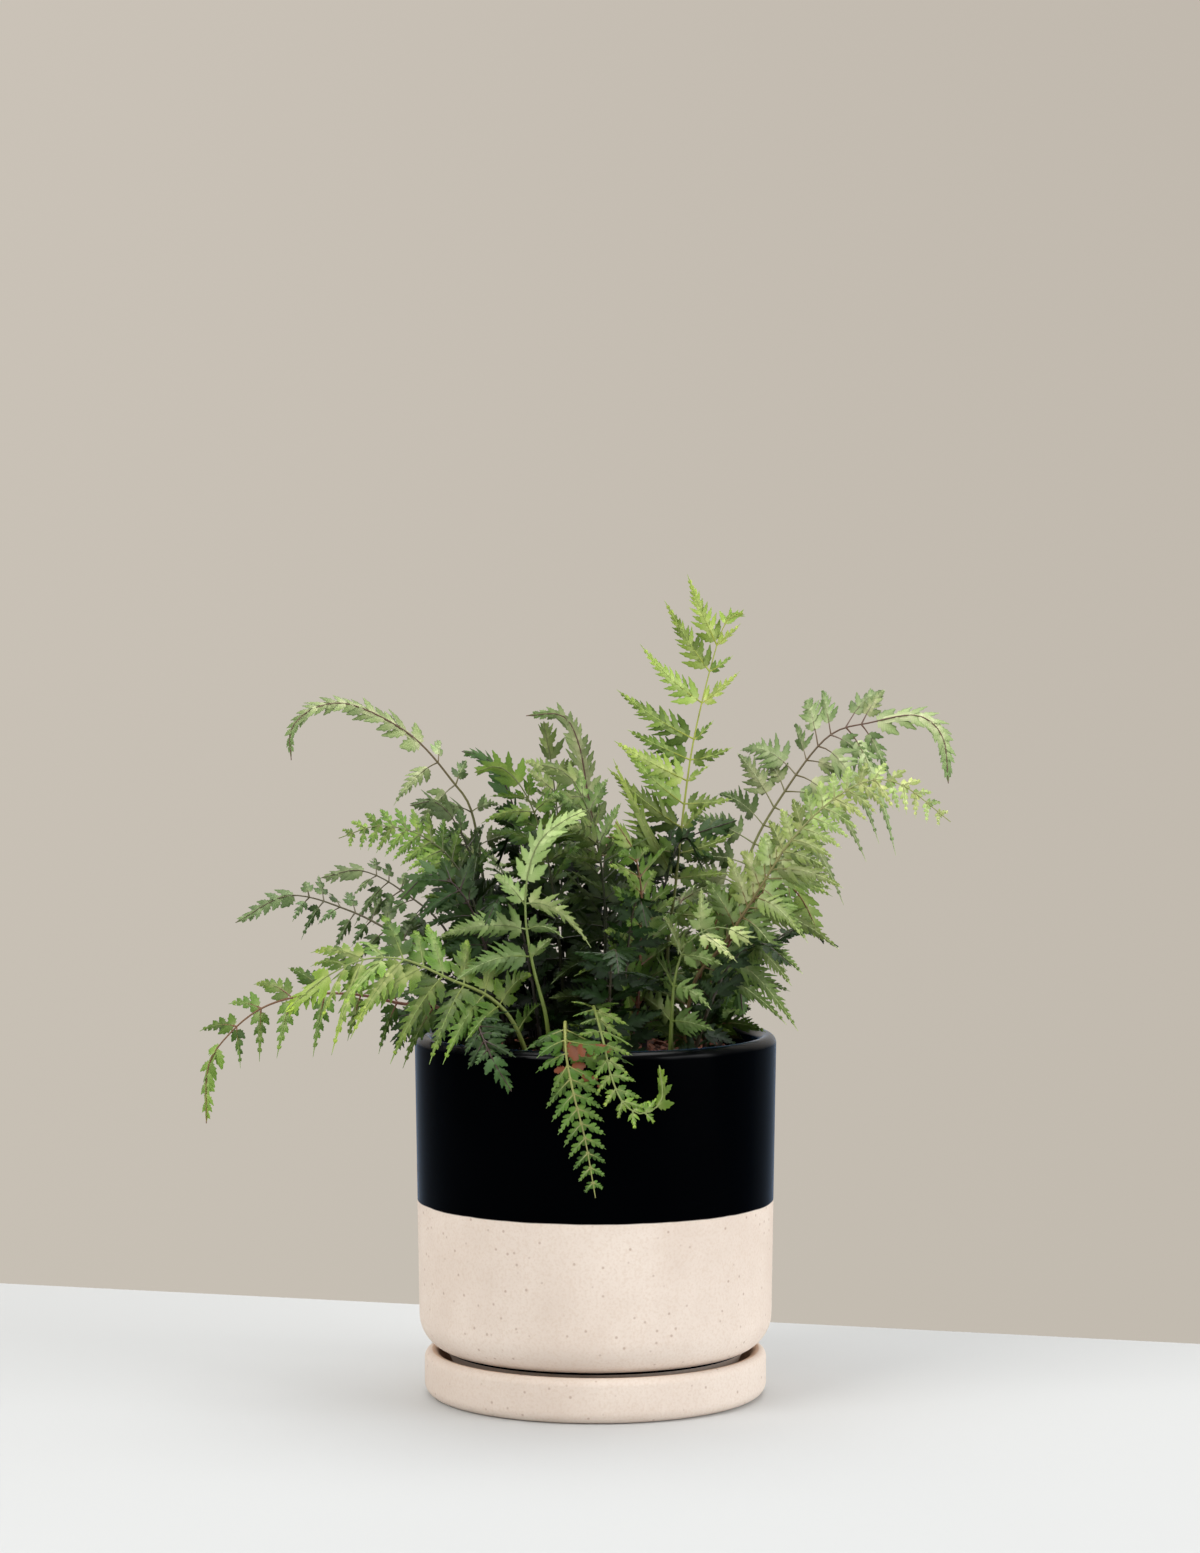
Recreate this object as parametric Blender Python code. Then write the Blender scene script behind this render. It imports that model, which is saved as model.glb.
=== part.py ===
"""Potted japanese painted fern: a bisque saucer, a half-glazed pot, soil, and one solid for each frond.

Sizes are in millimetres and become metres where a mesh is made. The origin is the centre of the saucer's
underside, +Z is up, +X is to the right and -Y points at the viewer.
"""

import math
import random
from typing import NamedTuple

import bmesh
import bpy
from mathutils import Vector
from mathutils.bvhtree import BVHTree

MM = 0.001
GAP = 0.3

# Saucer
SAUCER_RADIUS = 71.0
SAUCER_LIP_TOP = 18.5
SAUCER_LIP_ROUND = 3.3
SAUCER_FLOOR = 6.0
SAUCER_FOOT_ROUND = 5.0
SAUCER_INNER_ROUND = 3.5

# Pot
POT_RADIUS = 75.0
POT_TOP = 149.8
POT_WALL = 7.5
POT_SHOULDER_RADIUS = 73.2
POT_SHOULDER_Z = 33.7
POT_SHOULDER_ROUND = 15.0
POT_SHOULDER_ARC_DEG = 75.0
POT_FOOT_RADIUS = 56.0
POT_FOOT_Z = SAUCER_FLOOR + GAP
POT_FLOOR_THICK = 8.0
POT_FLOOR_RADIUS = 54.0
POT_INNER_ROUND = (3.5, 5.5)
POT_INNER_WALL_FOOT = 18.0
DRAIN_RADIUS = 7.0
ROUND_STEPS = 32
ARC_STEPS = 4
RIM_ARC_STEPS = 5
FOOT_ARC_STEPS = 2

# Soil
SOIL_TOP = 140.0
SOIL_GAP = 0.4
HOLE_SIDES = 4
HOLE_DEPTH = 13.0
HOLE_CLEARANCE = 0.4
STALK_SUNK = 12.0

# Stalk and rachis
STALK_START = 1.5
STALK_HALF = 1.1
RACHIS_TIP_HALF = 0.4
RACHIS_TAPER = 0.7
PATH_SAMPLES = 160
STALK_SAMPLES = 20
STALK_STEP = 30.0
PINNA_BASE_HALF = 0.9

# Pinnae: their outline, and how much each may differ from the rule
PINNA_BEND = 0.5
PINNA_STRAIGHT = 0.96
PINNA_CUP = 0.16
PINNA_WIDTH = 0.22
PINNA_WIDTH_EXTRA = 1.0
WIDEST = 0.18
WIDTH_AT_BASE = 0.12
WIDTH_RISE = 0.7
WIDTH_FALL = 1.25
LENGTH_WHIM = (0.86, 1.12)
ANGLE_WHIM_DEG = 11.0
DROOP_WHIM = 0.08
ROLL_WHIM_DEG = 20.0

# Blades cut to the rib
BLADE_THICK = 0.7
RIB_HALF = 0.7
LEAFLET_TIP = 0.62
LEAFLET_NOTCH = 0.92
BLADE_END = 0.75
LEAFLETS_BY_LENGTH = ((23.5, 1), (999.0, 2))
COMB_STEP = 13.0
COMB_TAPER = 0.65

# How a pinna is bent clear of what it would touch
CLEARANCE = 0.35
POT_CLEARANCE = 1.5
WALL_CLEARANCE = 1.0
TEST_BLADE_START = 0.07
LIFTS_DEG = (0, 14, -14, 28, -28, 42, -42, 58, -58, 74)
SWEEPS_DEG = (0, 13, -13)
REACHES = (1.0, 0.84, 0.68, 0.52)


class Habit(NamedTuple):
    """How a frond bears its pinnae: their angle to the rachis, how far that closes towards the tip, how
    much they shorten towards it and along what curve, how they crowd there, how far they droop, how the
    comb is cupped, and how much the pinnae stray from all this."""

    angle_deg: float
    forward_deg: float
    fall: float
    fall_curve: float
    crowding: float
    droop: float
    comb_cup: float
    stray: float


UPRIGHT = Habit(84.0, 40.0, 0.4, 0.8, 0.45, -0.12, 0.1, 1.0)
FEATHERY = Habit(70.0, 20.0, 0.3, 1.3, 0.15, 0.3, 0.25, 1.3)
ARCHING = Habit(82.0, 22.0, 0.36, 1.3, 0.2, 0.28, 0.2, 1.3)
BUSHY = Habit(68.0, 20.0, 0.4, 1.3, 0.15, 0.2, 0.2, 2.2)
HANGING = Habit(64.0, 18.0, 0.42, 1.3, 0.15, 0.12, 0.2, 1.6)

TO_VIEWER = (0.0, -0.8, 0.6)
FACING_LEFT = (-0.55, -0.7, 0.5)
FACING_RIGHT = (0.55, -0.7, 0.5)
FACING_UP = (0.0, -0.45, 0.9)
UP_RIGHT = (0.35, -0.75, 0.55)
BACKWARD = (0.0, 0.6, 0.8)

# Each frond: name, where its stalk leaves the soil, the points its rachis passes, its longest pinna on
# the right and on the left (seen from its base), the pairs of pinnae, the shares of bare stalk and of
# the comb of single leaflets at its end, half the comb's width, its habit, and the way its upper side
# looks.
FRONDS = (
    ("tall", (32, 3),
     ((30, 5, 182), (33, 6, 208), (37, 8, 245), (41, 8, 272), (48, 7, 302), (54, 4, 320), (61, 0, 324)),
     28, 46, 7, 0.38, 0.05, 6, UPRIGHT, UP_RIGHT),
    ("right_front", (36, -28),
     ((40, -32, 173), (53, -36, 191), (66, -40, 212), (78, -43, 231), (92, -45, 246), (108, -46, 256),
      (123, -46, 255), (143, -46, 240)),
     42, 32, 5, 0.28, 0.46, 15, FEATHERY, TO_VIEWER),
    ("right_arch", (47, 20),
     ((57, 25, 186), (65, 29, 222), (80, 30, 249), (98, 28, 272), (116, 25, 278), (135, 20, 281),
      (145, 15, 272), (147, 10, 253)),
     40, 46, 6, 0.32, 0.24, 11, ARCHING, TO_VIEWER),
    ("left_arch", (-38, 30),
     ((-46, 34, 200), (-52, 38, 238), (-61, 40, 253), (-78, 38, 272), (-102, 32, 285), (-118, 30, 284),
      (-128, 28, 275), (-128, 27, 262)),
     24, 36, 4, 0.4, 0.36, 8, ARCHING, TO_VIEWER),
    ("left_low", (-46, -28),
     ((-62, -36, 163), (-79, -40, 166), (-97, -43, 170), (-116, -45, 170), (-134, -45, 165),
      (-148, -43, 154), (-157, -40, 140), (-158, -38, 117)),
     25, 22, 7, 0.2, 0.2, 6.5, FEATHERY, TO_VIEWER),
    ("left_bright", (-26, -48),
     ((-33, -56, 160), (-43, -60, 171), (-58, -63, 178), (-76, -65, 186), (-93, -66, 186),
      (-109, -66, 178), (-124, -66, 165)),
     33, 38, 4, 0.3, 0.18, 10, FEATHERY, TO_VIEWER),
    ("front_drop", (-12, -50),
     ((-12, -69, 161), (-12, -83, 158), (-11, -90, 147), (-8, -91, 133), (-4, -90, 117), (0, -88, 94)),
     18, 28, 4, 0.36, 0.44, 9, HANGING, TO_VIEWER),
    ("front_right_drop", (0, -44),
     ((-1, -61, 165), (0, -76, 166), (3, -87, 156), (6, -91, 143), (11, -93, 132), (19, -94, 128),
      (26, -94, 134), (25, -93, 147)),
     11, 13, 5, 0.36, 0.14, 5, HANGING, TO_VIEWER),
    ("centre_front", (-18, -42),
     ((-20, -50, 162), (-25, -53, 182), (-28, -55, 202), (-27, -54, 220), (-22, -52, 233),
      (-12, -50, 241), (-3, -48, 245)),
     34, 38, 3, 0.4, 0.34, 9, BUSHY, TO_VIEWER),
    ("left_dark", (-50, 4),
     ((-64, 8, 176), (-84, 12, 190), (-104, 14, 200), (-128, 12, 206), (-150, 8, 195)),
     22, 22, 5, 0.24, 0.2, 6, ARCHING, TO_VIEWER),
    ("left_mid", (-40, -6),
     ((-46, -12, 190), (-56, -14, 218), (-70, -17, 232), (-88, -20, 237), (-105, -22, 232)),
     30, 30, 4, 0.28, 0.38, 15, BUSHY, TO_VIEWER),
    ("left_upper", (-34, 12),
     ((-41, 13, 178), (-48, 13, 208), (-56, 12, 232), (-66, 9, 245), (-77, 4, 244)),
     27, 28, 5, 0.2, 0.18, 8, BUSHY, FACING_UP),
    ("left_inner", (-34, -22),
     ((-41, -28, 172), (-48, -33, 198), (-57, -37, 214), (-68, -40, 218), (-79, -41, 208)),
     27, 30, 5, 0.2, 0.18, 8, BUSHY, FACING_LEFT),
    ("left_behind", (-46, 38),
     ((-62, 44, 186), (-82, 48, 205), (-100, 49, 214), (-117, 48, 211)),
     24, 26, 5, 0.22, 0.16, 7, ARCHING, TO_VIEWER),
    ("top_thin", (4, 8),
     ((5, 13, 185), (3, 15, 214), (-3, 18, 247), (-7, 20, 269), (-14, 20, 281), (-29, 17, 281)),
     28, 28, 4, 0.22, 0.4, 9, BUSHY, TO_VIEWER),
    ("top_centre", (-13, 36),
     ((-14, 37, 190), (-15, 40, 225), (-18, 43, 254), (-22, 43, 278)),
     32, 32, 6, 0.2, 0.12, 9, BUSHY, FACING_LEFT),
    ("top_left_dark", (-24, 18),
     ((-28, 22, 200), (-32, 24, 232), (-38, 24, 252), (-46, 22, 263), (-56, 20, 266)),
     30, 30, 5, 0.2, 0.22, 10, BUSHY, FACING_UP),
    ("top_left", (-12, 12),
     ((-15, 10, 185), (-20, 7, 222), (-28, 4, 247), (-39, 1, 260), (-50, -2, 258)),
     31, 31, 5, 0.28, 0.16, 9, BUSHY, FACING_LEFT),
    ("centre_olive", (2, -14),
     ((4, -16, 195), (1, -18, 230), (-6, -19, 250), (-13, -20, 259), (-22, -22, 262)),
     36, 36, 6, 0.18, 0.12, 9, BUSHY, FACING_RIGHT),
    ("centre_upright", (16, -30),
     ((18, -34, 180), (19, -37, 205), (16, -40, 226), (8, -43, 240)),
     33, 33, 5, 0.15, 0.12, 8, BUSHY, FACING_RIGHT),
    ("dark_behind", (18, 34),
     ((18, 37, 195), (24, 40, 218), (40, 41, 229), (60, 40, 236)),
     30, 30, 5, 0.18, 0.14, 9, BUSHY, TO_VIEWER),
    ("right_curvy", (30, -42),
     ((32, -46, 176), (38, -50, 192), (50, -52, 198), (64, -54, 192)),
     28, 34, 4, 0.22, 0.14, 8, BUSHY, FACING_LEFT),
    ("right_low", (46, -8),
     ((54, -12, 185), (64, -16, 205), (77, -19, 213), (85, -21, 206), (92, -23, 191)),
     27, 28, 5, 0.26, 0.18, 8, FEATHERY, TO_VIEWER),
    ("right_inner", (38, -14),
     ((42, -19, 170), (47, -24, 192), (55, -28, 208), (65, -30, 211)),
     24, 25, 4, 0.2, 0.18, 7, BUSHY, FACING_RIGHT),
    ("right_hang", (44, -22),
     ((48, -26, 172), (53, -29, 182), (58, -32, 176), (60, -34, 160)),
     20, 20, 4, 0.2, 0.2, 6, HANGING, TO_VIEWER),
    ("right_back", (44, 34),
     ((52, 42, 178), (61, 50, 196), (70, 60, 200), (79, 70, 190)),
     26, 26, 4, 0.2, 0.16, 8, BUSHY, BACKWARD),
    ("left_rim", (-48, -16),
     ((-57, -19, 158), (-68, -23, 163), (-77, -27, 159), (-81, -29, 146)),
     20, 20, 4, 0.28, 0.2, 6, HANGING, TO_VIEWER),
    ("front_left_drop", (-44, -36),
     ((-47, -50, 157), (-48, -64, 163), (-45, -76, 157), (-40, -83, 147), (-33, -87, 136)),
     19, 20, 4, 0.34, 0.2, 6, HANGING, TO_VIEWER),
    ("back_left", (-24, 48),
     ((-30, 58, 185), (-40, 70, 212), (-52, 84, 222), (-64, 98, 212)),
     28, 28, 5, 0.2, 0.16, 8, BUSHY, BACKWARD),
    ("back_middle", (0, 50),
     ((2, 60, 190), (4, 74, 218), (6, 92, 226), (8, 108, 212)),
     29, 29, 5, 0.2, 0.16, 8, BUSHY, BACKWARD),
    ("back_right", (24, 52),
     ((30, 62, 180), (38, 76, 200), (48, 92, 202), (56, 106, 188)),
     28, 28, 5, 0.2, 0.16, 8, BUSHY, BACKWARD),
)

# Pinnae set by hand instead of by a drawn whim: for a site and a side (1 right, -1 left), the share of
# the length by the rule, the degrees added to its angle, and what is added to its droop and its roll in
# degrees.
SET_PINNAE = {
    "tall": {
        (0, 1): (0.8, -10.0, 0.2, 10.0), (0, -1): (1.2, -56.0, 0.0, 25.0),
        (1, 1): (0.6, -30.0, 0.0, 30.0), (1, -1): (0.95, -12.0, 0.0, 0.0),
        (2, 1): (0.5, -20.0, 0.1, 40.0), (2, -1): (0.95, 4.0, 0.05, 0.0),
        (3, 1): (0.5, -22.0, 0.0, 20.0), (3, -1): (1.1, 12.0, 0.0, 10.0),
        (4, 1): (1.0, -26.0, 0.0, 20.0), (4, -1): (1.0, 14.0, -0.12, 10.0),
        (5, 1): (0.6, -16.0, 0.0, 20.0), (5, -1): (1.1, 0.0, 0.0, -10.0),
        (6, 1): (0.7, -10.0, 0.0, 20.0), (6, -1): (1.05, -18.0, 0.0, 0.0),
    },
    "centre_front": {
        (0, 1): (0.4, -20.0, 0.0, 20.0), (0, -1): (0.95, 0.0, 0.2, 20.0),
        (1, 1): (0.55, 10.0, 0.4, 0.0), (1, -1): (1.25, 2.0, 0.1, -10.0),
        (2, 1): (1.1, 25.0, 0.6, 20.0), (2, -1): (0.8, -20.0, 0.1, 0.0),
    },
    "right_arch": {
        (0, 1): (0.6, 0.0, 0.2, 20.0), (0, -1): (1.0, -6.0, 0.0, 0.0),
        (1, 1): (0.9, 10.0, 0.4, 0.0), (1, -1): (1.0, -10.0, -0.1, 0.0),
        (2, 1): (1.1, 5.0, 0.5, 0.0), (2, -1): (1.05, -8.0, -0.1, 10.0),
        (3, 1): (1.15, 0.0, 0.5, 0.0), (3, -1): (1.25, 10.0, 0.1, 0.0),
        (4, 1): (1.3, 0.0, 0.6, 0.0), (4, -1): (1.2, -6.0, 0.1, 0.0),
        (5, 1): (1.3, 0.0, 0.6, 0.0), (5, -1): (1.2, -10.0, 0.1, 0.0),
    },
}

# Short fronds low between the others: each leans outwards from a spiral of places, turned until its root
# is free. The inner ones stand taller.
LOW_FRONDS = 12
LOW_RADII = (20.0, 36.0, 52.0)
LOW_RISES = (1.75, 1.35, 1.0)
LOW_TURN_DEG = 137.5
LOW_TRY_DEG = 9.0
LOW_TRIES = 40
LOW_PATH = ((1.15, 24.0), (1.35, 44.0), (1.6, 52.0), (1.85, 44.0))
LOW_SPREAD = 9.0
LOW_PINNA = 22.0
LOW_PAIRS = 4
LOW_BARE = 0.2
LOW_COMB = 0.18
LOW_COMB_HALF = 6.5
ROOT_DISTANCE = 6.0

BISQUE = (0.80, 0.62, 0.48, 1.0)
GLAZE = (0.006, 0.010, 0.018, 1.0)
SOIL_BROWN = (0.09, 0.04, 0.025, 1.0)
FROND_GREEN = (0.12, 0.26, 0.06, 1.0)


def clear_scene():
    for obj in list(bpy.data.objects):
        bpy.data.objects.remove(obj)


def material(name, colour, roughness):
    made = bpy.data.materials.new(name)
    made.use_nodes = True
    shader = made.node_tree.nodes["Principled BSDF"]
    shader.inputs["Base Color"].default_value = colour
    shader.inputs["Roughness"].default_value = roughness
    shader.inputs["Metallic"].default_value = 0.0
    return made


def add_object(name, mesh, finish):
    made = bpy.data.objects.new(name, mesh)
    bpy.context.scene.collection.objects.link(made)
    mesh.materials.append(finish)
    return made


def arc(centre, radius, start_deg, end_deg, steps):
    """Points (radius, height) along an arc of a turned profile."""
    points = []
    for step in range(steps + 1):
        angle = math.radians(start_deg + (end_deg - start_deg) * step / steps)
        points.append((centre[0] + radius * math.cos(angle), centre[1] + radius * math.sin(angle)))
    return points


def turned(name, profile, finish, closed):
    """A body of revolution. Its profile runs down the outer side, and returns to its start if closed."""
    mesh = bpy.data.meshes.new(name)
    points = [(radius * MM, 0.0, height * MM) for radius, height in profile]
    edges = [(i, i + 1) for i in range(len(points) - 1)]
    if closed:
        edges.append((len(points) - 1, 0))
    mesh.from_pydata(points, edges, [])
    made = add_object(name, mesh, finish)
    screw = made.modifiers.new("turn", "SCREW")
    screw.steps = ROUND_STEPS
    screw.render_steps = ROUND_STEPS
    screw.use_merge_vertices = True
    screw.merge_threshold = 0.00001
    screw.use_smooth_shade = True
    return made


def make_saucer(finish):
    lip_centre = (SAUCER_RADIUS - SAUCER_LIP_ROUND, SAUCER_LIP_TOP - SAUCER_LIP_ROUND)
    lip_inside = lip_centre[0] - SAUCER_LIP_ROUND
    foot_centre = (SAUCER_RADIUS - SAUCER_FOOT_ROUND, SAUCER_FOOT_ROUND)
    profile = [(0.0, SAUCER_FLOOR), (lip_inside - SAUCER_INNER_ROUND, SAUCER_FLOOR)]
    profile.append((lip_inside, SAUCER_FLOOR + SAUCER_INNER_ROUND))
    profile += arc(lip_centre, SAUCER_LIP_ROUND, 180, 0, ARC_STEPS)
    profile += arc(foot_centre, SAUCER_FOOT_ROUND, 0, -90, FOOT_ARC_STEPS)
    profile.append((0.0, 0.0))
    return turned("saucer", profile, finish, closed=False)


def pot_inside():
    """The pot's inner profile from the edge of its floor up to the straight wall."""
    floor = POT_FOOT_Z + POT_FLOOR_THICK
    wall = POT_RADIUS - POT_WALL
    inset, rise = POT_INNER_ROUND
    return [(POT_FLOOR_RADIUS, floor), (wall - inset, floor + rise), (wall, floor + POT_INNER_WALL_FOOT)]


def make_pot(finish):
    inside = pot_inside()
    lip_centre = (POT_RADIUS - POT_WALL / 2, POT_TOP - POT_WALL / 2)
    shoulder_centre = (POT_SHOULDER_RADIUS - POT_SHOULDER_ROUND, POT_SHOULDER_Z)
    profile = arc(lip_centre, POT_WALL / 2, 180, 0, RIM_ARC_STEPS)
    profile += arc(shoulder_centre, POT_SHOULDER_ROUND, 0, -POT_SHOULDER_ARC_DEG, ARC_STEPS)
    profile += [(POT_FOOT_RADIUS, POT_FOOT_Z), (DRAIN_RADIUS, POT_FOOT_Z)]
    profile += [(DRAIN_RADIUS, inside[0][1])]
    profile += inside
    return turned("pot", profile, finish, closed=True)


def make_soil(finish, holes):
    """The bark mix, with a plain hole for each stalk."""
    inside = [(radius - SOIL_GAP, height + SOIL_GAP) for radius, height in pot_inside()]
    profile = [(0.0, SOIL_TOP), (inside[-1][0], SOIL_TOP)]
    profile += reversed(inside)
    profile.append((0.0, inside[0][1]))
    made = turned("soil", profile, finish, closed=False)
    cut = made.modifiers.new("stalk_holes", "BOOLEAN")
    cut.operand_type = "COLLECTION"
    cut.collection = holes
    cut.operation = "DIFFERENCE"
    return made


def stalk_hole(collection, root):
    """A square cutter around a stalk."""
    radius = (STALK_HALF * math.sqrt(2) + HOLE_CLEARANCE) / math.cos(math.pi / HOLE_SIDES)
    shape = bmesh.new()
    bmesh.ops.create_cone(shape, cap_ends=True, segments=HOLE_SIDES, radius1=radius * MM,
                          radius2=radius * MM, depth=2 * HOLE_DEPTH * MM)
    mesh = bpy.data.meshes.new("stalk_hole")
    shape.to_mesh(mesh)
    shape.free()
    cutter = bpy.data.objects.new("stalk_hole", mesh)
    cutter.location = (root[0] * MM, root[1] * MM, SOIL_TOP * MM)
    cutter.hide_render = True
    cutter.display_type = "WIRE"
    collection.objects.link(cutter)


def smooth_points(points, samples):
    """Points along a Catmull-Rom curve through the given ones."""
    ends = [2 * points[0] - points[1]] + points + [2 * points[-1] - points[-2]]
    spans = len(points) - 1
    result = []
    for sample in range(samples + 1):
        span = min(sample * spans // samples, spans - 1)
        t = sample / samples * spans - span
        a, b, c, d = ends[span:span + 4]
        result.append(0.5 * (2 * b + (c - a) * t + (2 * a - 5 * b + 4 * c - d) * t ** 2
                             + (3 * b - a - 3 * c + d) * t ** 3))
    return result


def square_to(vector, along):
    """The unit vector nearest to the given one that is square to a direction."""
    return (vector - vector.dot(along) * along).normalized()


class Rachis:
    """The curve of a frond's stalk and rachis, with a frame at any distance along it."""

    def __init__(self, root, path, face):
        start = Vector((root[0], root[1], SOIL_TOP + STALK_START))
        self.points = smooth_points([start] + [Vector(point) for point in path], PATH_SAMPLES)
        self.distances = [0.0]
        for before, after in zip(self.points, self.points[1:]):
            self.distances.append(self.distances[-1] + (after - before).length)
        self.length = self.distances[-1]
        self.ups = self.carried_normals(Vector(face))

    def tangent(self, index):
        low = max(index - 1, 0)
        high = min(index + 1, len(self.points) - 1)
        return (self.points[high] - self.points[low]).normalized()

    def carried_normals(self, face):
        """The face vector made square to the rachis two thirds along, and carried to both ends."""
        middle = 2 * len(self.points) // 3
        ups = [None] * len(self.points)
        ups[middle] = square_to(face, self.tangent(middle))
        for index in range(middle + 1, len(self.points)):
            ups[index] = square_to(ups[index - 1], self.tangent(index))
        for index in range(middle - 1, -1, -1):
            ups[index] = square_to(ups[index + 1], self.tangent(index))
        return ups

    def at(self, distance):
        """Point, direction, sideways and up at a distance along the curve."""
        index = 0
        while index < len(self.distances) - 2 and self.distances[index + 1] < distance:
            index += 1
        span = self.distances[index + 1] - self.distances[index]
        share = min(max((distance - self.distances[index]) / span, 0.0), 1.0)
        point = self.points[index].lerp(self.points[index + 1], share)
        along = self.tangent(index).lerp(self.tangent(index + 1), share).normalized()
        up = square_to(self.ups[index].lerp(self.ups[index + 1], share), along)
        return point, along, along.cross(up), up

    def half_width(self, distance):
        share = min(distance / self.length, 1.0)
        return STALK_HALF + (RACHIS_TIP_HALF - STALK_HALF) * share ** RACHIS_TAPER


class Pinna:
    """The rib of a pinna: a quadratic curve that bends down, or up where droop is negative."""

    def __init__(self, start, along, normal, length, droop):
        self.start = start
        self.bend = start + along * length * PINNA_BEND
        self.end = start + along * length * PINNA_STRAIGHT + Vector((0, 0, -droop * length))
        self.normal = normal
        self.length = length
        self.cup = PINNA_CUP

    def at(self, t):
        point = self.start * (1 - t) ** 2 + self.bend * 2 * t * (1 - t) + self.end * t * t
        along = ((self.bend - self.start) * (1 - t) + (self.end - self.bend) * t).normalized()
        normal = square_to(self.normal, along)
        return point, along, along.cross(normal), normal

    def half_width(self, t):
        """Half the width of the blade at a share of its length: widest near its base, then a long taper."""
        rise = min((t + WIDTH_AT_BASE) / (WIDEST + WIDTH_AT_BASE), 1.0) ** WIDTH_RISE
        fall = (1 - max(t - WIDEST, 0.0) / (1 - WIDEST)) ** WIDTH_FALL
        return (PINNA_WIDTH * self.length + PINNA_WIDTH_EXTRA) * rise * fall


class Comb:
    """The end of a rachis, which bears single leaflets."""

    def __init__(self, rachis, start, half, cup):
        self.rachis = rachis
        self.start = start
        self.length = rachis.length - start
        self.half = half
        self.cup = cup

    def at(self, t):
        return self.rachis.at(self.start + t * self.length)

    def half_width(self, t):
        return self.half * (1 - t) ** COMB_TAPER


def blade_points(rib, leaflets):
    """The middle surface of a blade cut to its rib: leaflet tips and notches of both edges, and the apex.

    Each entry is (point, normal). An edge runs tip, notch, tip, notch, outwards.
    """
    edges = []
    for sign in (1, -1):
        edge = []
        for leaflet in range(leaflets):
            tip_t = (leaflet + LEAFLET_TIP) / (leaflets + BLADE_END)
            point, _, across, normal = rib.at(tip_t)
            reach = rib.half_width(tip_t)
            edge.append((point + sign * across * reach - normal * reach * rib.cup, normal))
            notch_t = (leaflet + LEAFLET_NOTCH) / (leaflets + BLADE_END)
            point, _, across, normal = rib.at(notch_t)
            edge.append((point + sign * across * RIB_HALF, normal))
        edges.append(edge)
    point, _, _, normal = rib.at(1.0)
    return edges[0], edges[1], (point, normal)


def pinna_leaflets(length):
    return next(count for limit, count in LEAFLETS_BY_LENGTH if length < limit)


def comb_leaflets(length):
    return max(2, round(length / COMB_STEP))


class Solid:
    """Vertices and faces of one closed body, in millimetres."""

    def __init__(self):
        self.vertices = []
        self.faces = []

    def add(self, point):
        self.vertices.append(Vector(point))
        return len(self.vertices) - 1

    def add_blade(self, base, outline, thick):
        """A thin plate grown from four base corners: (top a, top b, bottom a, bottom b)."""
        edge_a, edge_b, apex = outline
        layers = []
        for side, (corner_a, corner_b) in ((0.5, base[:2]), (-0.5, base[2:])):
            line_a = [corner_a] + [self.add(point + normal * thick * side) for point, normal in edge_a]
            line_b = [corner_b] + [self.add(point + normal * thick * side) for point, normal in edge_b]
            end = self.add(apex[0] + apex[1] * thick * side)
            layers.append((line_a, line_b, end))
        for line_a, line_b, end in layers:
            for low in range(0, len(line_a) - 1, 2):
                self.faces.append((line_a[low], line_a[low + 1], line_a[low + 2]))
                self.faces.append((line_b[low], line_b[low + 1], line_b[low + 2]))
                self.faces.append((line_a[low], line_a[low + 2], line_b[low + 2]))
                self.faces.append((line_a[low], line_b[low + 2], line_b[low]))
            self.faces.append((line_a[-1], end, line_b[-1]))
        (top_a, top_b, top_end), (bottom_a, bottom_b, bottom_end) = layers
        for top, bottom in ((top_a + [top_end], bottom_a + [bottom_end]),
                            (top_b + [top_end], bottom_b + [bottom_end])):
            for i in range(len(top) - 1):
                self.faces.append((top[i], top[i + 1], bottom[i + 1]))
                self.faces.append((top[i], bottom[i + 1], bottom[i]))

    def tree(self):
        return BVHTree.FromPolygons(self.vertices, self.faces)


def test_blade(rib, outline, start, base_thick):
    """The blade alone, thicker by the clearance on both sides, to try against what is already placed."""
    solid = Solid()
    point, _, across, normal = rib.at(start)
    corners = []
    for side in (0.5, -0.5):
        for sign in (1, -1):
            corners.append(solid.add(point + across * RIB_HALF * sign + normal * base_thick * side))
    solid.add_blade(corners, outline, BLADE_THICK + 2 * CLEARANCE)
    return solid


def test_blades(rib, outline):
    """One test blade for its own frond, clear of the rachis, and one for the other fronds."""
    within = test_blade(rib, outline, TEST_BLADE_START, BLADE_THICK + 2 * CLEARANCE)
    outside = test_blade(rib, outline, 0.0, 2 * STALK_HALF + 2 * CLEARANCE)
    return within, outside


def clear_of_pot(points):
    """Whether every point lies above the soil inside the rim, or outside the wall."""
    for x, y, z in points:
        radius = math.hypot(x, y)
        if radius < POT_RADIUS - POT_WALL - WALL_CLEARANCE:
            if z < SOIL_TOP + STALK_START:
                return False
        elif radius < POT_RADIUS + POT_CLEARANCE and z < POT_TOP + POT_CLEARANCE:
            return False
    return True


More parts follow.
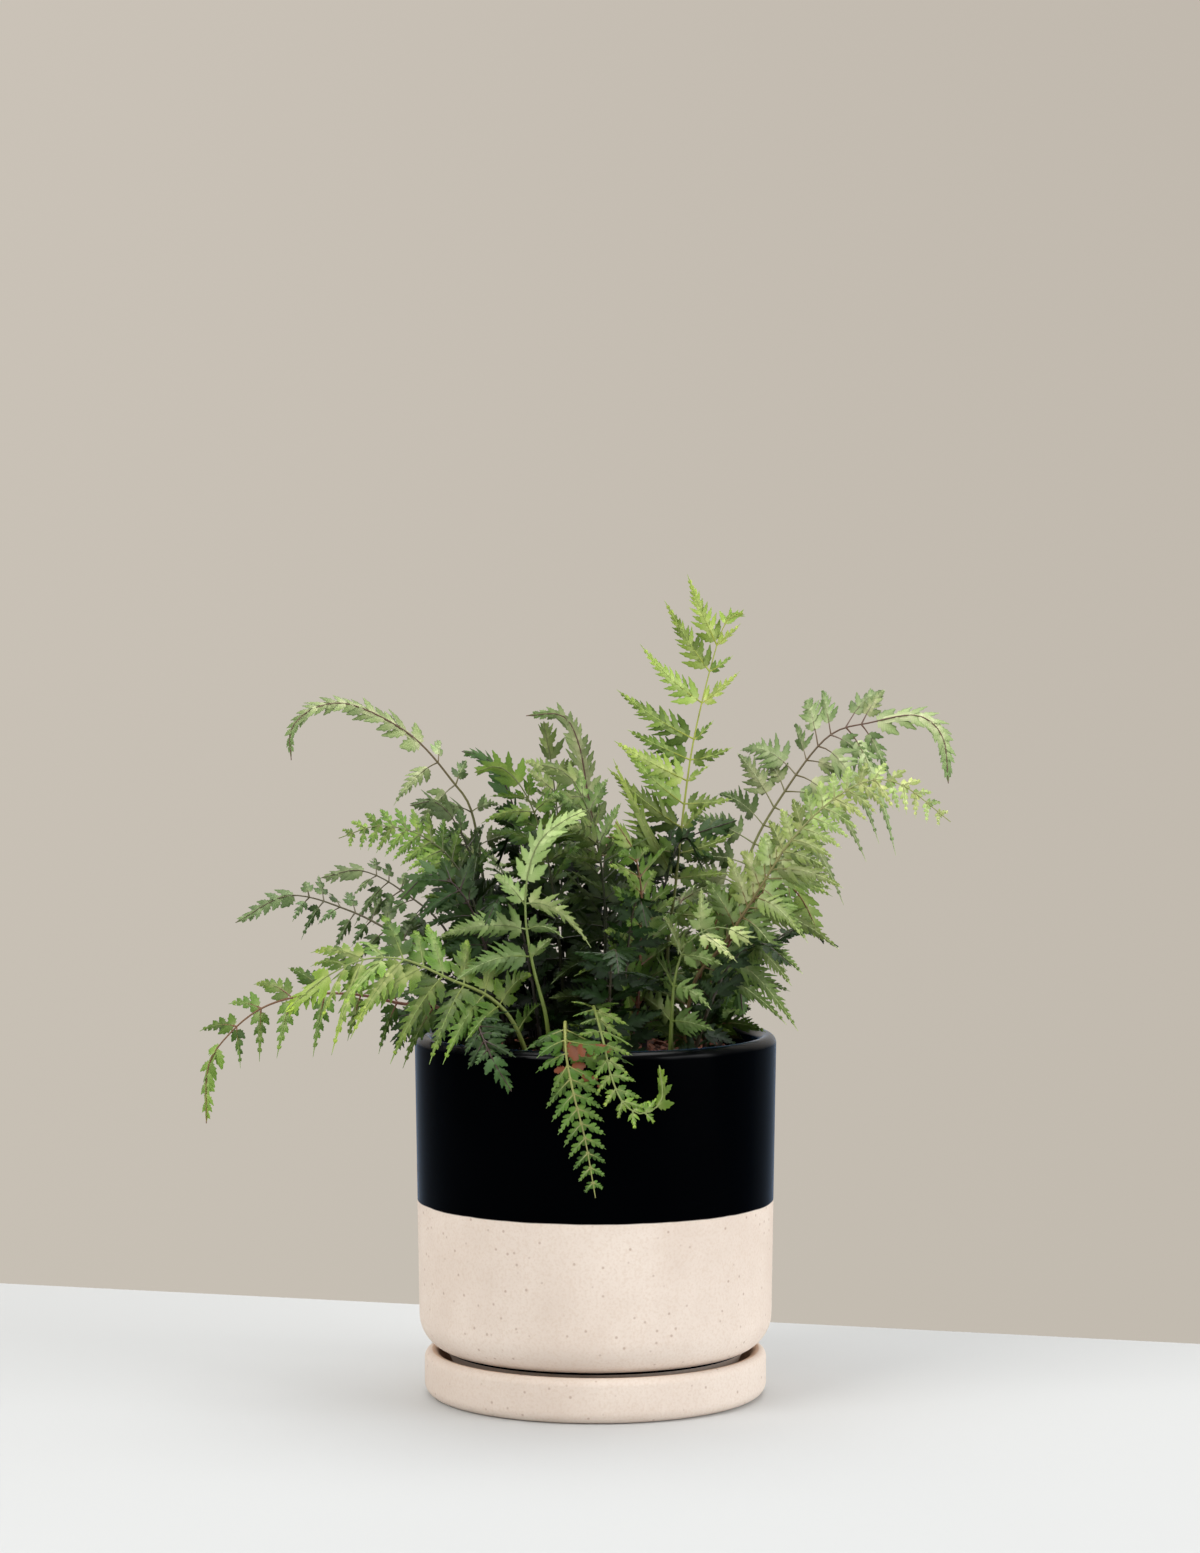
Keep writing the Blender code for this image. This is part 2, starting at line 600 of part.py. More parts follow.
class Frond:
    """A rachis with the comb at its end, and pinnae bent clear of what was placed before."""

    def __init__(self, name, root, path, right, left, pairs, bare, comb, comb_half, habit, face):
        self.name = name
        self.root = root
        self.longest = {1: right, -1: left}
        self.habit = habit
        self.rachis = Rachis(root, path, face)
        self.first = bare * self.rachis.length
        self.comb_start = (1 - comb) * self.rachis.length
        self.comb = Comb(self.rachis, self.comb_start, comb_half, habit.comb_cup)
        self.comb_outline = blade_points(self.comb, comb_leaflets(self.comb.length))
        self.sites = []
        for pair in range(pairs):
            share = pair / pairs
            share *= 1 + habit.crowding * (1 - share)
            self.sites.append(self.first + (self.comb_start - self.first) * share)
        source = random.Random(name)
        self.whims = {(site, sign): self.draw_whim(source) for site in range(pairs) for sign in (1, -1)}
        self.whims.update(SET_PINNAE.get(name, {}))
        self.pinnae = {}
        stalk = self.stalk_sides().tree()
        comb_within, comb_outside = test_blades(self.comb, self.comb_outline)
        self.within = [stalk, comb_within.tree()]
        self.outside = [stalk, comb_outside.tree()]

    def draw_whim(self, source):
        """How a pinna differs a little from the rule: length, angle, droop and roll."""
        length = source.uniform(*LENGTH_WHIM)
        angle = source.uniform(-ANGLE_WHIM_DEG, ANGLE_WHIM_DEG) * self.habit.stray
        droop = source.uniform(-DROOP_WHIM, DROOP_WHIM) * self.habit.stray
        roll = source.uniform(-ROLL_WHIM_DEG, ROLL_WHIM_DEG) * self.habit.stray
        return length, angle, droop, roll

    def share_of_blade(self, distance):
        return (distance - self.first) / (self.comb_start - self.first)

    def pinna_length(self, distance, sign):
        share = max(self.share_of_blade(distance), 0.0)
        return self.longest[sign] * (1 - self.habit.fall * share ** self.habit.fall_curve)

    def stations(self):
        """Distances at which the stalk has corners, below the comb."""
        found = []
        steps = max(1, round(self.first / STALK_STEP))
        for step in range(steps):
            found.append(self.first * step / steps)
        for site in self.sites:
            found += [site - PINNA_BASE_HALF, site + PINNA_BASE_HALF]
        found.append(self.comb_start)
        return found

    def ring(self, solid, distance):
        """Three corners round the rachis: right and left on its upper side, and its keel."""
        point, _, across, up = self.rachis.at(distance)
        half = self.rachis.half_width(distance)
        return [solid.add(point + across * half + up * half), solid.add(point - across * half + up * half),
                solid.add(point - up * half)]

    def join(self, solid, before, after, skip=()):
        """The three sides between two rings, apart from a side that a pinna grows from."""
        sides = {1: (0, 2), -1: (2, 1), 0: (1, 0)}
        for side, (first, second) in sides.items():
            if side not in skip:
                solid.faces.append((before[first], before[second], after[second], after[first]))

    def stalk_sides(self):
        """The sides of the stalk and rachis without pinnae, for the tests."""
        solid = Solid()
        rings = [self.ring(solid, distance) for distance in self.stations()]
        for before, after in zip(rings, rings[1:]):
            self.join(solid, before, after)
        return solid

    def pinna(self, distance, sign, whim, reach, lift_deg, sweep_deg):
        """The rib of a pinna, lifted and swept from its own place by the given angles."""
        length_whim, angle_whim, droop_whim, roll_whim = whim
        point, along, across, up = self.rachis.at(distance)
        forward = self.habit.forward_deg * self.share_of_blade(distance)
        angle = math.radians(self.habit.angle_deg - forward + angle_whim + sweep_deg)
        lift = math.radians(lift_deg)
        roll = math.radians(roll_whim)
        outward = across * sign * math.cos(lift) + up * math.sin(lift)
        direction = along * math.cos(angle) + outward * math.sin(angle)
        normal = square_to(up * math.cos(lift) - across * sign * math.sin(lift), direction)
        normal = normal * math.cos(roll) + direction.cross(normal) * math.sin(roll)
        start = point + across * sign * self.rachis.half_width(distance)
        length = self.pinna_length(distance, sign) * length_whim * reach
        return Pinna(start, direction, normal, length, self.habit.droop + droop_whim)

    def settle_pinna(self, site, sign, others):
        """The first bend of a pinna, near its own place first, that touches nothing placed before."""
        for reach in REACHES:
            for lift in LIFTS_DEG:
                for sweep in SWEEPS_DEG:
                    rib = self.pinna(self.sites[site], sign, self.whims[site, sign], reach, lift, sweep)
                    within, outside = test_blades(rib, blade_points(rib, pinna_leaflets(rib.length)))
                    if not clear_of_pot(outside.vertices):
                        continue
                    trees = within.tree(), outside.tree()
                    if any(trees[0].overlap(tree) for tree in self.within):
                        continue
                    if any(trees[1].overlap(tree) for tree in others):
                        continue
                    self.within.append(trees[0])
                    self.outside.append(trees[1])
                    return rib
        return None

    def grow(self, others):
        """Settles each pinna, from the comb down."""
        for site in reversed(range(len(self.sites))):
            for sign in (1, -1):
                rib = self.settle_pinna(site, sign, others)
                if rib:
                    self.pinnae[site, sign] = rib


def low_frond_row(number, turn_deg):
    """A short frond that leans outwards from its place on the spiral."""
    radius = LOW_RADII[number % len(LOW_RADII)]
    rise = LOW_RISES[number % len(LOW_RISES)]
    angle = math.radians(LOW_TURN_DEG * number + turn_deg)
    outward = (math.cos(angle), math.sin(angle))
    root = (radius * outward[0], radius * outward[1])
    path = []
    for share, height in LOW_PATH:
        reach = radius * share + LOW_SPREAD * (share - 1)
        path.append((reach * outward[0], reach * outward[1], SOIL_TOP + height * rise))
    face = (outward[0], outward[1], 1.0)
    return (f"low_{number + 1}", root, path, LOW_PINNA, LOW_PINNA, LOW_PAIRS, LOW_BARE, LOW_COMB,
            LOW_COMB_HALF, BUSHY, face)


def free_place(frond, fronds):
    """Whether a frond's root keeps its distance, and its stalk and comb touch neither others nor pot."""
    if any(math.dist(frond.root, other.root) < ROOT_DISTANCE for other in fronds):
        return False
    if not clear_of_pot(frond.rachis.points[STALK_SAMPLES:]):
        return False
    fixed = [tree for other in fronds for tree in other.outside]
    return not any(mine.overlap(tree) for mine in frond.outside for tree in fixed)


def plant_low_fronds(fronds):
    for number in range(LOW_FRONDS):
        for attempt in range(LOW_TRIES):
            turn = LOW_TRY_DEG * ((attempt + 1) // 2) * (-1) ** attempt
            frond = Frond(*low_frond_row(number, turn))
            if free_place(frond, fronds):
                fronds.append(frond)
                break


def grow_fronds():
    fronds = [Frond(*row) for row in FRONDS]
    plant_low_fronds(fronds)
    for frond in fronds:
        frond.grow([tree for other in fronds if other is not frond for tree in other.outside])
    return fronds


def frond_solid(frond):
    """The stalk and rachis with a blade for each pinna and the comb at the end, as one body."""
    solid = Solid()
    foot = frond.ring(solid, 0.0)
    for corner in foot:
        solid.vertices[corner].z = SOIL_TOP - STALK_SUNK
    rings = [foot] + [frond.ring(solid, distance) for distance in frond.stations()]
    solid.faces.append(foot)
    first_site = len(rings) - 1 - 2 * len(frond.sites)
    for index, (before, after) in enumerate(zip(rings, rings[1:])):
        site, between = divmod(index - first_site, 2)
        grown = [] if between or site < 0 else [sign for sign in (1, -1) if (site, sign) in frond.pinnae]
        frond.join(solid, before, after, grown)
        for sign in grown:
            upper = 0 if sign == 1 else 1
            near = (before[upper], before[2])
            far = (after[upper], after[2])
            # A right pinna's first edge faces the frond's base, and a left pinna's faces its tip.
            ends = (near, far) if sign == 1 else (far, near)
            base = (ends[0][0], ends[1][0], ends[0][1], ends[1][1])
            rib = frond.pinnae[site, sign]
            solid.add_blade(base, blade_points(rib, pinna_leaflets(rib.length)), BLADE_THICK)
    right, left, keel = rings[-1]
    solid.add_blade((right, left, keel, keel), frond.comb_outline, BLADE_THICK)
    return solid


def to_mesh(solid, name):
    mesh = bpy.data.meshes.new(name)
    mesh.from_pydata([vertex * MM for vertex in solid.vertices], [], solid.faces)
    shape = bmesh.new()
    shape.from_mesh(mesh)
    bmesh.ops.recalc_face_normals(shape, faces=shape.faces)
    shape.to_mesh(mesh)
    shape.free()
    return mesh


def main():
    clear_scene()
    make_saucer(material("saucer", BISQUE, 0.85))
    make_pot(material("pot", GLAZE, 0.3))
    fronds = grow_fronds()
    holes = bpy.data.collections.new("stalk_holes")
    for frond in fronds:
        stalk_hole(holes, frond.root)
    make_soil(material("soil", SOIL_BROWN, 0.95), holes)
    for frond in fronds:
        name = "frond_" + frond.name
        add_object(name, to_mesh(frond_solid(frond), name), material(name, FROND_GREEN, 0.6))


main()
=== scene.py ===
"""Looks of a potted Japanese painted fern: bisque and glaze, bark soil, and finely cut fronds.

Sizes are in millimetres and become metres where a mesh is made. The origin is the centre of the saucer's
underside, +Z is up, +X is to the right and -Y points at the viewer.
"""

import itertools
import math
import random
from typing import NamedTuple

import bpy
import numpy as np
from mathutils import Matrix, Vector
from mathutils.bvhtree import BVHTree


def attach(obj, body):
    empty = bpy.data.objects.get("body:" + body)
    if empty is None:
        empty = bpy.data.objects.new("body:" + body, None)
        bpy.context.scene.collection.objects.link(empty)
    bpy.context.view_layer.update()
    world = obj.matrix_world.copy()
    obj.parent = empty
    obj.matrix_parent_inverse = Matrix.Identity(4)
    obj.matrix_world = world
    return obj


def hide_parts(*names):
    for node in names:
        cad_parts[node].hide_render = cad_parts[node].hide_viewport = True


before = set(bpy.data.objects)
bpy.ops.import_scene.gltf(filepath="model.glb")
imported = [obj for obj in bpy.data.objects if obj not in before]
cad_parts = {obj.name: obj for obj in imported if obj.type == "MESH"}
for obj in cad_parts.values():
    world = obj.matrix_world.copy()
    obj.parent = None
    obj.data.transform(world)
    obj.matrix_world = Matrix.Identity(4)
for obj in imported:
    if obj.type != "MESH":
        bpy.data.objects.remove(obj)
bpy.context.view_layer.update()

MM = 0.001
SEED = 7

# Turned bodies
ROUND_STEPS = 160
AXIS_RADIUS = 0.5
SHARP_DEG = 50.0

# Saucer
SAUCER_RADIUS = 71.0
SAUCER_LIP_TOP = 18.5
SAUCER_LIP_ROUND = 3.3
SAUCER_FLOOR = 6.0
SAUCER_FOOT_ROUND = 5.0
SAUCER_INNER_ROUND = 3.5
SAUCER_MIDDLE = 30.0

# Pot
POT_RADIUS = 75.0
POT_TOP = 149.8
POT_WALL = 7.5
POT_SHOULDER_RADIUS = 73.2
POT_SHOULDER_Z = 33.7
POT_SHOULDER_ROUND = 15.0
POT_SHOULDER_ARC_DEG = 75.0
POT_FOOT_RADIUS = 56.0
POT_FOOT_Z = 6.3
POT_FLOOR_THICK = 8.0
POT_FLOOR_RADIUS = 54.0
POT_INNER_ROUND = (3.5, 5.5)
POT_INNER_WALL_FOOT = 18.0
DRAIN_RADIUS = 7.0

# Glaze and bisque. The sheen grows from the deeper to the upper level below the rim.
GLAZE_LINE = 81.1
GLAZE_SOFT = 0.25
GLAZE_WOBBLE = 0.9
GLAZE_ROUGHNESS = (0.17, 0.21)
GLAZE_SHEEN = 0.004
GLAZE_EDGE = 0.36
GLAZE_EDGE_SPREAD = 0.24
RIM_SHEEN = 0.16
RIM_DEEP = 3.5
RIM_FULL = 1.0
BISQUE_SHEEN = 0.3
BISQUE_ROUGHNESS = 0.86

# Soil
SOIL_TOP = 140.0
SOIL_GAP = 0.4
SOIL_RINGS = 22
SOIL_RING_START = 4.0
SOIL_EDGE = 1.5
SOIL_EDGE_DROP = 1.0
SOIL_LUMPS = 0.6
COARSE_WAVES = (0.9, 1.04)
COARSE_SHIFT = 1.3
FINE_WAVES = (2.1, 1.7)
FINE_SHARE = 0.6
BED_TONE = 0.22

# Bark chips: their limits of length, breadth and thickness, and of each corner's share of these
CHIPS = 900
CHIP_SIZES = ((2.5, 8.0), (1.5, 4.0), (0.8, 2.0))
CHIP_UNEVEN = (0.6, 1.0)
CHIP_TILT = 0.35
CHIP_INSET = 5.5
CHIP_RISE = (-0.6, 1.4)
CHIP_TONES = (0.05, 1.0)
CHIP_FACES = ((0, 1, 3, 2), (4, 6, 7, 5), (0, 4, 5, 1), (2, 3, 7, 6), (0, 2, 6, 4), (1, 5, 7, 3))

# Stalk and rachis
STALK_START = 1.5
STALK_HALF = 1.1
RACHIS_TIP_HALF = 0.4
RACHIS_TAPER = 0.7
PATH_SAMPLES = 160
STALK_SAMPLES = 20
STALK_STEP = 30.0
PINNA_BASE_HALF = 0.9

# Pinnae: their outline, and how much each may differ from the rule
PINNA_BEND = 0.5
PINNA_STRAIGHT = 0.96
PINNA_CUP = 0.16
PINNA_WIDTH = 0.22
PINNA_WIDTH_EXTRA = 1.0
WIDEST = 0.18
WIDTH_AT_BASE = 0.12
WIDTH_RISE = 0.7
WIDTH_FALL = 1.25
LENGTH_WHIM = (0.86, 1.12)
ANGLE_WHIM_DEG = 11.0
DROOP_WHIM = 0.08
ROLL_WHIM_DEG = 20.0

# Blades cut to the rib
BLADE_THICK = 0.7
RIB_HALF = 0.7
LEAFLET_TIP = 0.62
LEAFLET_NOTCH = 0.92
BLADE_END = 0.75
LEAFLETS_BY_LENGTH = ((23.5, 1), (999.0, 2))
COMB_STEP = 13.0
COMB_TAPER = 0.65

# How a pinna is bent clear of what it would touch
CLEARANCE = 0.35
POT_CLEARANCE = 1.5
WALL_CLEARANCE = 1.0
TEST_BLADE_START = 0.07
LIFTS_DEG = (0, 14, -14, 28, -28, 42, -42, 58, -58, 74)
SWEEPS_DEG = (0, 13, -13)
REACHES = (1.0, 0.84, 0.68, 0.52)


class Habit(NamedTuple):
    """How a frond bears its pinnae.

    Their angle to the rachis, how far that closes towards the tip, how much they shorten towards it and
    along what curve, how they crowd there, how far they droop, how the comb is cupped, and how much the
    pinnae stray from all this.
    """

    angle_deg: float
    forward_deg: float
    fall: float
    fall_curve: float
    crowding: float
    droop: float
    comb_cup: float
    stray: float


UPRIGHT = Habit(84.0, 40.0, 0.4, 0.8, 0.45, -0.12, 0.1, 1.0)
FEATHERY = Habit(70.0, 20.0, 0.3, 1.3, 0.15, 0.3, 0.25, 1.3)
ARCHING = Habit(82.0, 22.0, 0.36, 1.3, 0.2, 0.28, 0.2, 1.3)
BUSHY = Habit(68.0, 20.0, 0.4, 1.3, 0.15, 0.2, 0.2, 2.2)
HANGING = Habit(64.0, 18.0, 0.42, 1.3, 0.15, 0.12, 0.2, 1.6)

TO_VIEWER = (0.0, -0.8, 0.6)
FACING_LEFT = (-0.55, -0.7, 0.5)
FACING_RIGHT = (0.55, -0.7, 0.5)
FACING_UP = (0.0, -0.45, 0.9)
UP_RIGHT = (0.35, -0.75, 0.55)
BACKWARD = (0.0, 0.6, 0.8)

# Each frond: name, where its stalk leaves the soil, the points its rachis passes, its longest pinna on
# the right and on the left (seen from its base), the pairs of pinnae, the shares of bare stalk and of
# the comb of single leaflets at its end, half the comb's width, its habit, and the way its upper side
# looks.
FRONDS = (
    ("tall", (32, 3),
     ((30, 5, 182), (33, 6, 208), (37, 8, 245), (41, 8, 272), (48, 7, 302), (54, 4, 320), (61, 0, 324)),
     28, 46, 7, 0.38, 0.05, 6, UPRIGHT, UP_RIGHT),
    ("right_front", (36, -28),
     ((40, -32, 173), (53, -36, 191), (66, -40, 212), (78, -43, 231), (92, -45, 246), (108, -46, 256),
      (123, -46, 255), (143, -46, 240)),
     42, 32, 5, 0.28, 0.46, 15, FEATHERY, TO_VIEWER),
    ("right_arch", (47, 20),
     ((57, 25, 186), (65, 29, 222), (80, 30, 249), (98, 28, 272), (116, 25, 278), (135, 20, 281),
      (145, 15, 272), (147, 10, 253)),
     40, 46, 6, 0.32, 0.24, 11, ARCHING, TO_VIEWER),
    ("left_arch", (-38, 30),
     ((-46, 34, 200), (-52, 38, 238), (-61, 40, 253), (-78, 38, 272), (-102, 32, 285), (-118, 30, 284),
      (-128, 28, 275), (-128, 27, 262)),
     24, 36, 4, 0.4, 0.36, 8, ARCHING, TO_VIEWER),
    ("left_low", (-46, -28),
     ((-62, -36, 163), (-79, -40, 166), (-97, -43, 170), (-116, -45, 170), (-134, -45, 165),
      (-148, -43, 154), (-157, -40, 140), (-158, -38, 117)),
     25, 22, 7, 0.2, 0.2, 6.5, FEATHERY, TO_VIEWER),
    ("left_bright", (-26, -48),
     ((-33, -56, 160), (-43, -60, 171), (-58, -63, 178), (-76, -65, 186), (-93, -66, 186),
      (-109, -66, 178), (-124, -66, 165)),
     33, 38, 4, 0.3, 0.18, 10, FEATHERY, TO_VIEWER),
    ("front_drop", (-12, -50),
     ((-12, -69, 161), (-12, -83, 158), (-11, -90, 147), (-8, -91, 133), (-4, -90, 117), (0, -88, 94)),
     18, 28, 4, 0.36, 0.44, 9, HANGING, TO_VIEWER),
    ("front_right_drop", (0, -44),
     ((-1, -61, 165), (0, -76, 166), (3, -87, 156), (6, -91, 143), (11, -93, 132), (19, -94, 128),
      (26, -94, 134), (25, -93, 147)),
     11, 13, 5, 0.36, 0.14, 5, HANGING, TO_VIEWER),
    ("centre_front", (-18, -42),
     ((-20, -50, 162), (-25, -53, 182), (-28, -55, 202), (-27, -54, 220), (-22, -52, 233),
      (-12, -50, 241), (-3, -48, 245)),
     34, 38, 3, 0.4, 0.34, 9, BUSHY, TO_VIEWER),
    ("left_dark", (-50, 4),
     ((-64, 8, 176), (-84, 12, 190), (-104, 14, 200), (-128, 12, 206), (-150, 8, 195)),
     22, 22, 5, 0.24, 0.2, 6, ARCHING, TO_VIEWER),
    ("left_mid", (-40, -6),
     ((-46, -12, 190), (-56, -14, 218), (-70, -17, 232), (-88, -20, 237), (-105, -22, 232)),
     30, 30, 4, 0.28, 0.38, 15, BUSHY, TO_VIEWER),
    ("left_upper", (-34, 12),
     ((-41, 13, 178), (-48, 13, 208), (-56, 12, 232), (-66, 9, 245), (-77, 4, 244)),
     27, 28, 5, 0.2, 0.18, 8, BUSHY, FACING_UP),
    ("left_inner", (-34, -22),
     ((-41, -28, 172), (-48, -33, 198), (-57, -37, 214), (-68, -40, 218), (-79, -41, 208)),
     27, 30, 5, 0.2, 0.18, 8, BUSHY, FACING_LEFT),
    ("left_behind", (-46, 38),
     ((-62, 44, 186), (-82, 48, 205), (-100, 49, 214), (-117, 48, 211)),
     24, 26, 5, 0.22, 0.16, 7, ARCHING, TO_VIEWER),
    ("top_thin", (4, 8),
     ((5, 13, 185), (3, 15, 214), (-3, 18, 247), (-7, 20, 269), (-14, 20, 281), (-29, 17, 281)),
     28, 28, 4, 0.22, 0.4, 9, BUSHY, TO_VIEWER),
    ("top_centre", (-13, 36),
     ((-14, 37, 190), (-15, 40, 225), (-18, 43, 254), (-22, 43, 278)),
     32, 32, 6, 0.2, 0.12, 9, BUSHY, FACING_LEFT),
    ("top_left_dark", (-24, 18),
     ((-28, 22, 200), (-32, 24, 232), (-38, 24, 252), (-46, 22, 263), (-56, 20, 266)),
     30, 30, 5, 0.2, 0.22, 10, BUSHY, FACING_UP),
    ("top_left", (-12, 12),
     ((-15, 10, 185), (-20, 7, 222), (-28, 4, 247), (-39, 1, 260), (-50, -2, 258)),
     31, 31, 5, 0.28, 0.16, 9, BUSHY, FACING_LEFT),
    ("centre_olive", (2, -14),
     ((4, -16, 195), (1, -18, 230), (-6, -19, 250), (-13, -20, 259), (-22, -22, 262)),
     36, 36, 6, 0.18, 0.12, 9, BUSHY, FACING_RIGHT),
    ("centre_upright", (16, -30),
     ((18, -34, 180), (19, -37, 205), (16, -40, 226), (8, -43, 240)),
     33, 33, 5, 0.15, 0.12, 8, BUSHY, FACING_RIGHT),
    ("dark_behind", (18, 34),
     ((18, 37, 195), (24, 40, 218), (40, 41, 229), (60, 40, 236)),
     30, 30, 5, 0.18, 0.14, 9, BUSHY, TO_VIEWER),
    ("right_curvy", (30, -42),
     ((32, -46, 176), (38, -50, 192), (50, -52, 198), (64, -54, 192)),
     28, 34, 4, 0.22, 0.14, 8, BUSHY, FACING_LEFT),
    ("right_low", (46, -8),
     ((54, -12, 185), (64, -16, 205), (77, -19, 213), (85, -21, 206), (92, -23, 191)),
     27, 28, 5, 0.26, 0.18, 8, FEATHERY, TO_VIEWER),
    ("right_inner", (38, -14),
     ((42, -19, 170), (47, -24, 192), (55, -28, 208), (65, -30, 211)),
     24, 25, 4, 0.2, 0.18, 7, BUSHY, FACING_RIGHT),
    ("right_hang", (44, -22),
     ((48, -26, 172), (53, -29, 182), (58, -32, 176), (60, -34, 160)),
     20, 20, 4, 0.2, 0.2, 6, HANGING, TO_VIEWER),
    ("right_back", (44, 34),
     ((52, 42, 178), (61, 50, 196), (70, 60, 200), (79, 70, 190)),
     26, 26, 4, 0.2, 0.16, 8, BUSHY, BACKWARD),
    ("left_rim", (-48, -16),
     ((-57, -19, 158), (-68, -23, 163), (-77, -27, 159), (-81, -29, 146)),
     20, 20, 4, 0.28, 0.2, 6, HANGING, TO_VIEWER),
    ("front_left_drop", (-44, -36),
     ((-47, -50, 157), (-48, -64, 163), (-45, -76, 157), (-40, -83, 147), (-33, -87, 136)),
     19, 20, 4, 0.34, 0.2, 6, HANGING, TO_VIEWER),
    ("back_left", (-24, 48),
     ((-30, 58, 185), (-40, 70, 212), (-52, 84, 222), (-64, 98, 212)),
     28, 28, 5, 0.2, 0.16, 8, BUSHY, BACKWARD),
    ("back_middle", (0, 50),
     ((2, 60, 190), (4, 74, 218), (6, 92, 226), (8, 108, 212)),
     29, 29, 5, 0.2, 0.16, 8, BUSHY, BACKWARD),
    ("back_right", (24, 52),
     ((30, 62, 180), (38, 76, 200), (48, 92, 202), (56, 106, 188)),
     28, 28, 5, 0.2, 0.16, 8, BUSHY, BACKWARD),
)

# Pinnae set one by one instead of by a drawn whim: for a site and a side (1 right, -1 left), the share of
# the length by the rule, the degrees added to its angle, and what is added to its droop and its roll in
# degrees.
SET_PINNAE = {
    "tall": {
        (0, 1): (0.8, -10.0, 0.2, 10.0), (0, -1): (1.2, -56.0, 0.0, 25.0),
        (1, 1): (0.6, -30.0, 0.0, 30.0), (1, -1): (0.95, -12.0, 0.0, 0.0),
        (2, 1): (0.5, -20.0, 0.1, 40.0), (2, -1): (0.95, 4.0, 0.05, 0.0),
        (3, 1): (0.5, -22.0, 0.0, 20.0), (3, -1): (1.1, 12.0, 0.0, 10.0),
        (4, 1): (1.0, -26.0, 0.0, 20.0), (4, -1): (1.0, 14.0, -0.12, 10.0),
        (5, 1): (0.6, -16.0, 0.0, 20.0), (5, -1): (1.1, 0.0, 0.0, -10.0),
        (6, 1): (0.7, -10.0, 0.0, 20.0), (6, -1): (1.05, -18.0, 0.0, 0.0),
    },
    "centre_front": {
        (0, 1): (0.4, -20.0, 0.0, 20.0), (0, -1): (0.95, 0.0, 0.2, 20.0),
        (1, 1): (0.55, 10.0, 0.4, 0.0), (1, -1): (1.25, 2.0, 0.1, -10.0),
        (2, 1): (1.1, 25.0, 0.6, 20.0), (2, -1): (0.8, -20.0, 0.1, 0.0),
    },
    "right_arch": {
        (0, 1): (0.6, 0.0, 0.2, 20.0), (0, -1): (1.0, -6.0, 0.0, 0.0),
        (1, 1): (0.9, 10.0, 0.4, 0.0), (1, -1): (1.0, -10.0, -0.1, 0.0),
        (2, 1): (1.1, 5.0, 0.5, 0.0), (2, -1): (1.05, -8.0, -0.1, 10.0),
        (3, 1): (1.15, 0.0, 0.5, 0.0), (3, -1): (1.25, 10.0, 0.1, 0.0),
        (4, 1): (1.3, 0.0, 0.6, 0.0), (4, -1): (1.2, -6.0, 0.1, 0.0),
        (5, 1): (1.3, 0.0, 0.6, 0.0), (5, -1): (1.2, -10.0, 0.1, 0.0),
    },
}

# Short fronds low between the others: each leans outwards from a spiral of places, turned until its root
# is free. The inner ones stand taller.
LOW_FRONDS = 12
LOW_RADII = (20.0, 36.0, 52.0)
LOW_RISES = (1.75, 1.35, 1.0)
LOW_TURN_DEG = 137.5
LOW_TRY_DEG = 9.0
LOW_TRIES = 40
LOW_PATH = ((1.15, 24.0), (1.35, 44.0), (1.6, 52.0), (1.85, 44.0))
LOW_SPREAD = 9.0
LOW_PINNA = 22.0
LOW_PAIRS = 4
LOW_BARE = 0.2
LOW_COMB = 0.18
LOW_COMB_HALF = 6.5
ROOT_DISTANCE = 6.0

# How the pinnules are cut and spaced
TEETH = 4
TOOTH_DEPTH = 0.34
TOOTH_TIP = 0.8
PINNULE_STEP = 3.0
CROWDING = 0.8
COMB_PINNULE_STEP = 4.6
PINNULE_ANGLE_DEG = 52.0
PINNULE_FORWARD_DEG = 16.0
PINNULE_WIDTH = 0.62
PINNULE_SLIMMED = 0.14
PINNULE_SHORTEST = 1.1
PINNULE_LEAN = 0.14
PINNULE_SINK = 0.12
PINNULE_AHEAD = 0.5
PINNULE_OFFSET = 0.1
PINNULES_MIN = 4
PINNULES_END = 0.97
PETIOLULE = 0.05
LONG_PETIOLULE = 0.2
WIDE_COMB = 14.0
FINGER_STEP = 5.8
FINGER_LENGTH = 1.1
FINGER_EXTRA = 2.5
FINGER_ANGLE_DEG = 60.0
FINGER_PINNULE_STEP = 2.4
LOBED_COMBS = ("front_drop",)

# A pinnule's outline: up to where it widens, from where it narrows, and the two powers of its end, each with
# its gain where it is pointed. Its foot widens and its tip gets more pointed towards the pinna's tip.
OUTLINE_RISE = 0.4
OUTLINE_FALL = 0.35
OUTLINE_POWERS = ((2.8, -1.5), (0.5, 0.45))
POINTED_AT_TIP = 0.3
FOOT_WIDTH = 0.55
FOOT_WIDENS = 0.4
FOOT_WIDENS_FROM = 0.1
FOOT_WIDENS_OVER = 0.5

# How much a pinnule may differ from the rule: its angle, rise and roll in radians, then its length and
# width, the curl of its tip and its tone
ANGLE_STRAY = 0.08
RISE_STRAY = 0.14
ROLL_STRAY = 0.24
REACH_WHIM = (0.88, 1.04)
WIDTH_WHIM = (0.92, 1.06)
CURL_WHIM = (0.05, 0.25)
TONE_STRAY = 0.8

# The tone of the foliage: how much a pinnule's differs, and where the painted shade on it is darkest, which
# is behind the front fronds, within the inner radius and below the low height
TONE_GAIN = 0.4
SHADE_LEFT = 18.0
SHADE_BACK = 22.0
SHADE_INNER = 36.0
SHADE_OUTER = 80.0
SHADE_LOW = 192.0
SHADE_HIGH = 268.0
SHADE_DARKEST = 0.12
SHADE_POWERS = (1.15, 1.0, 1.3)

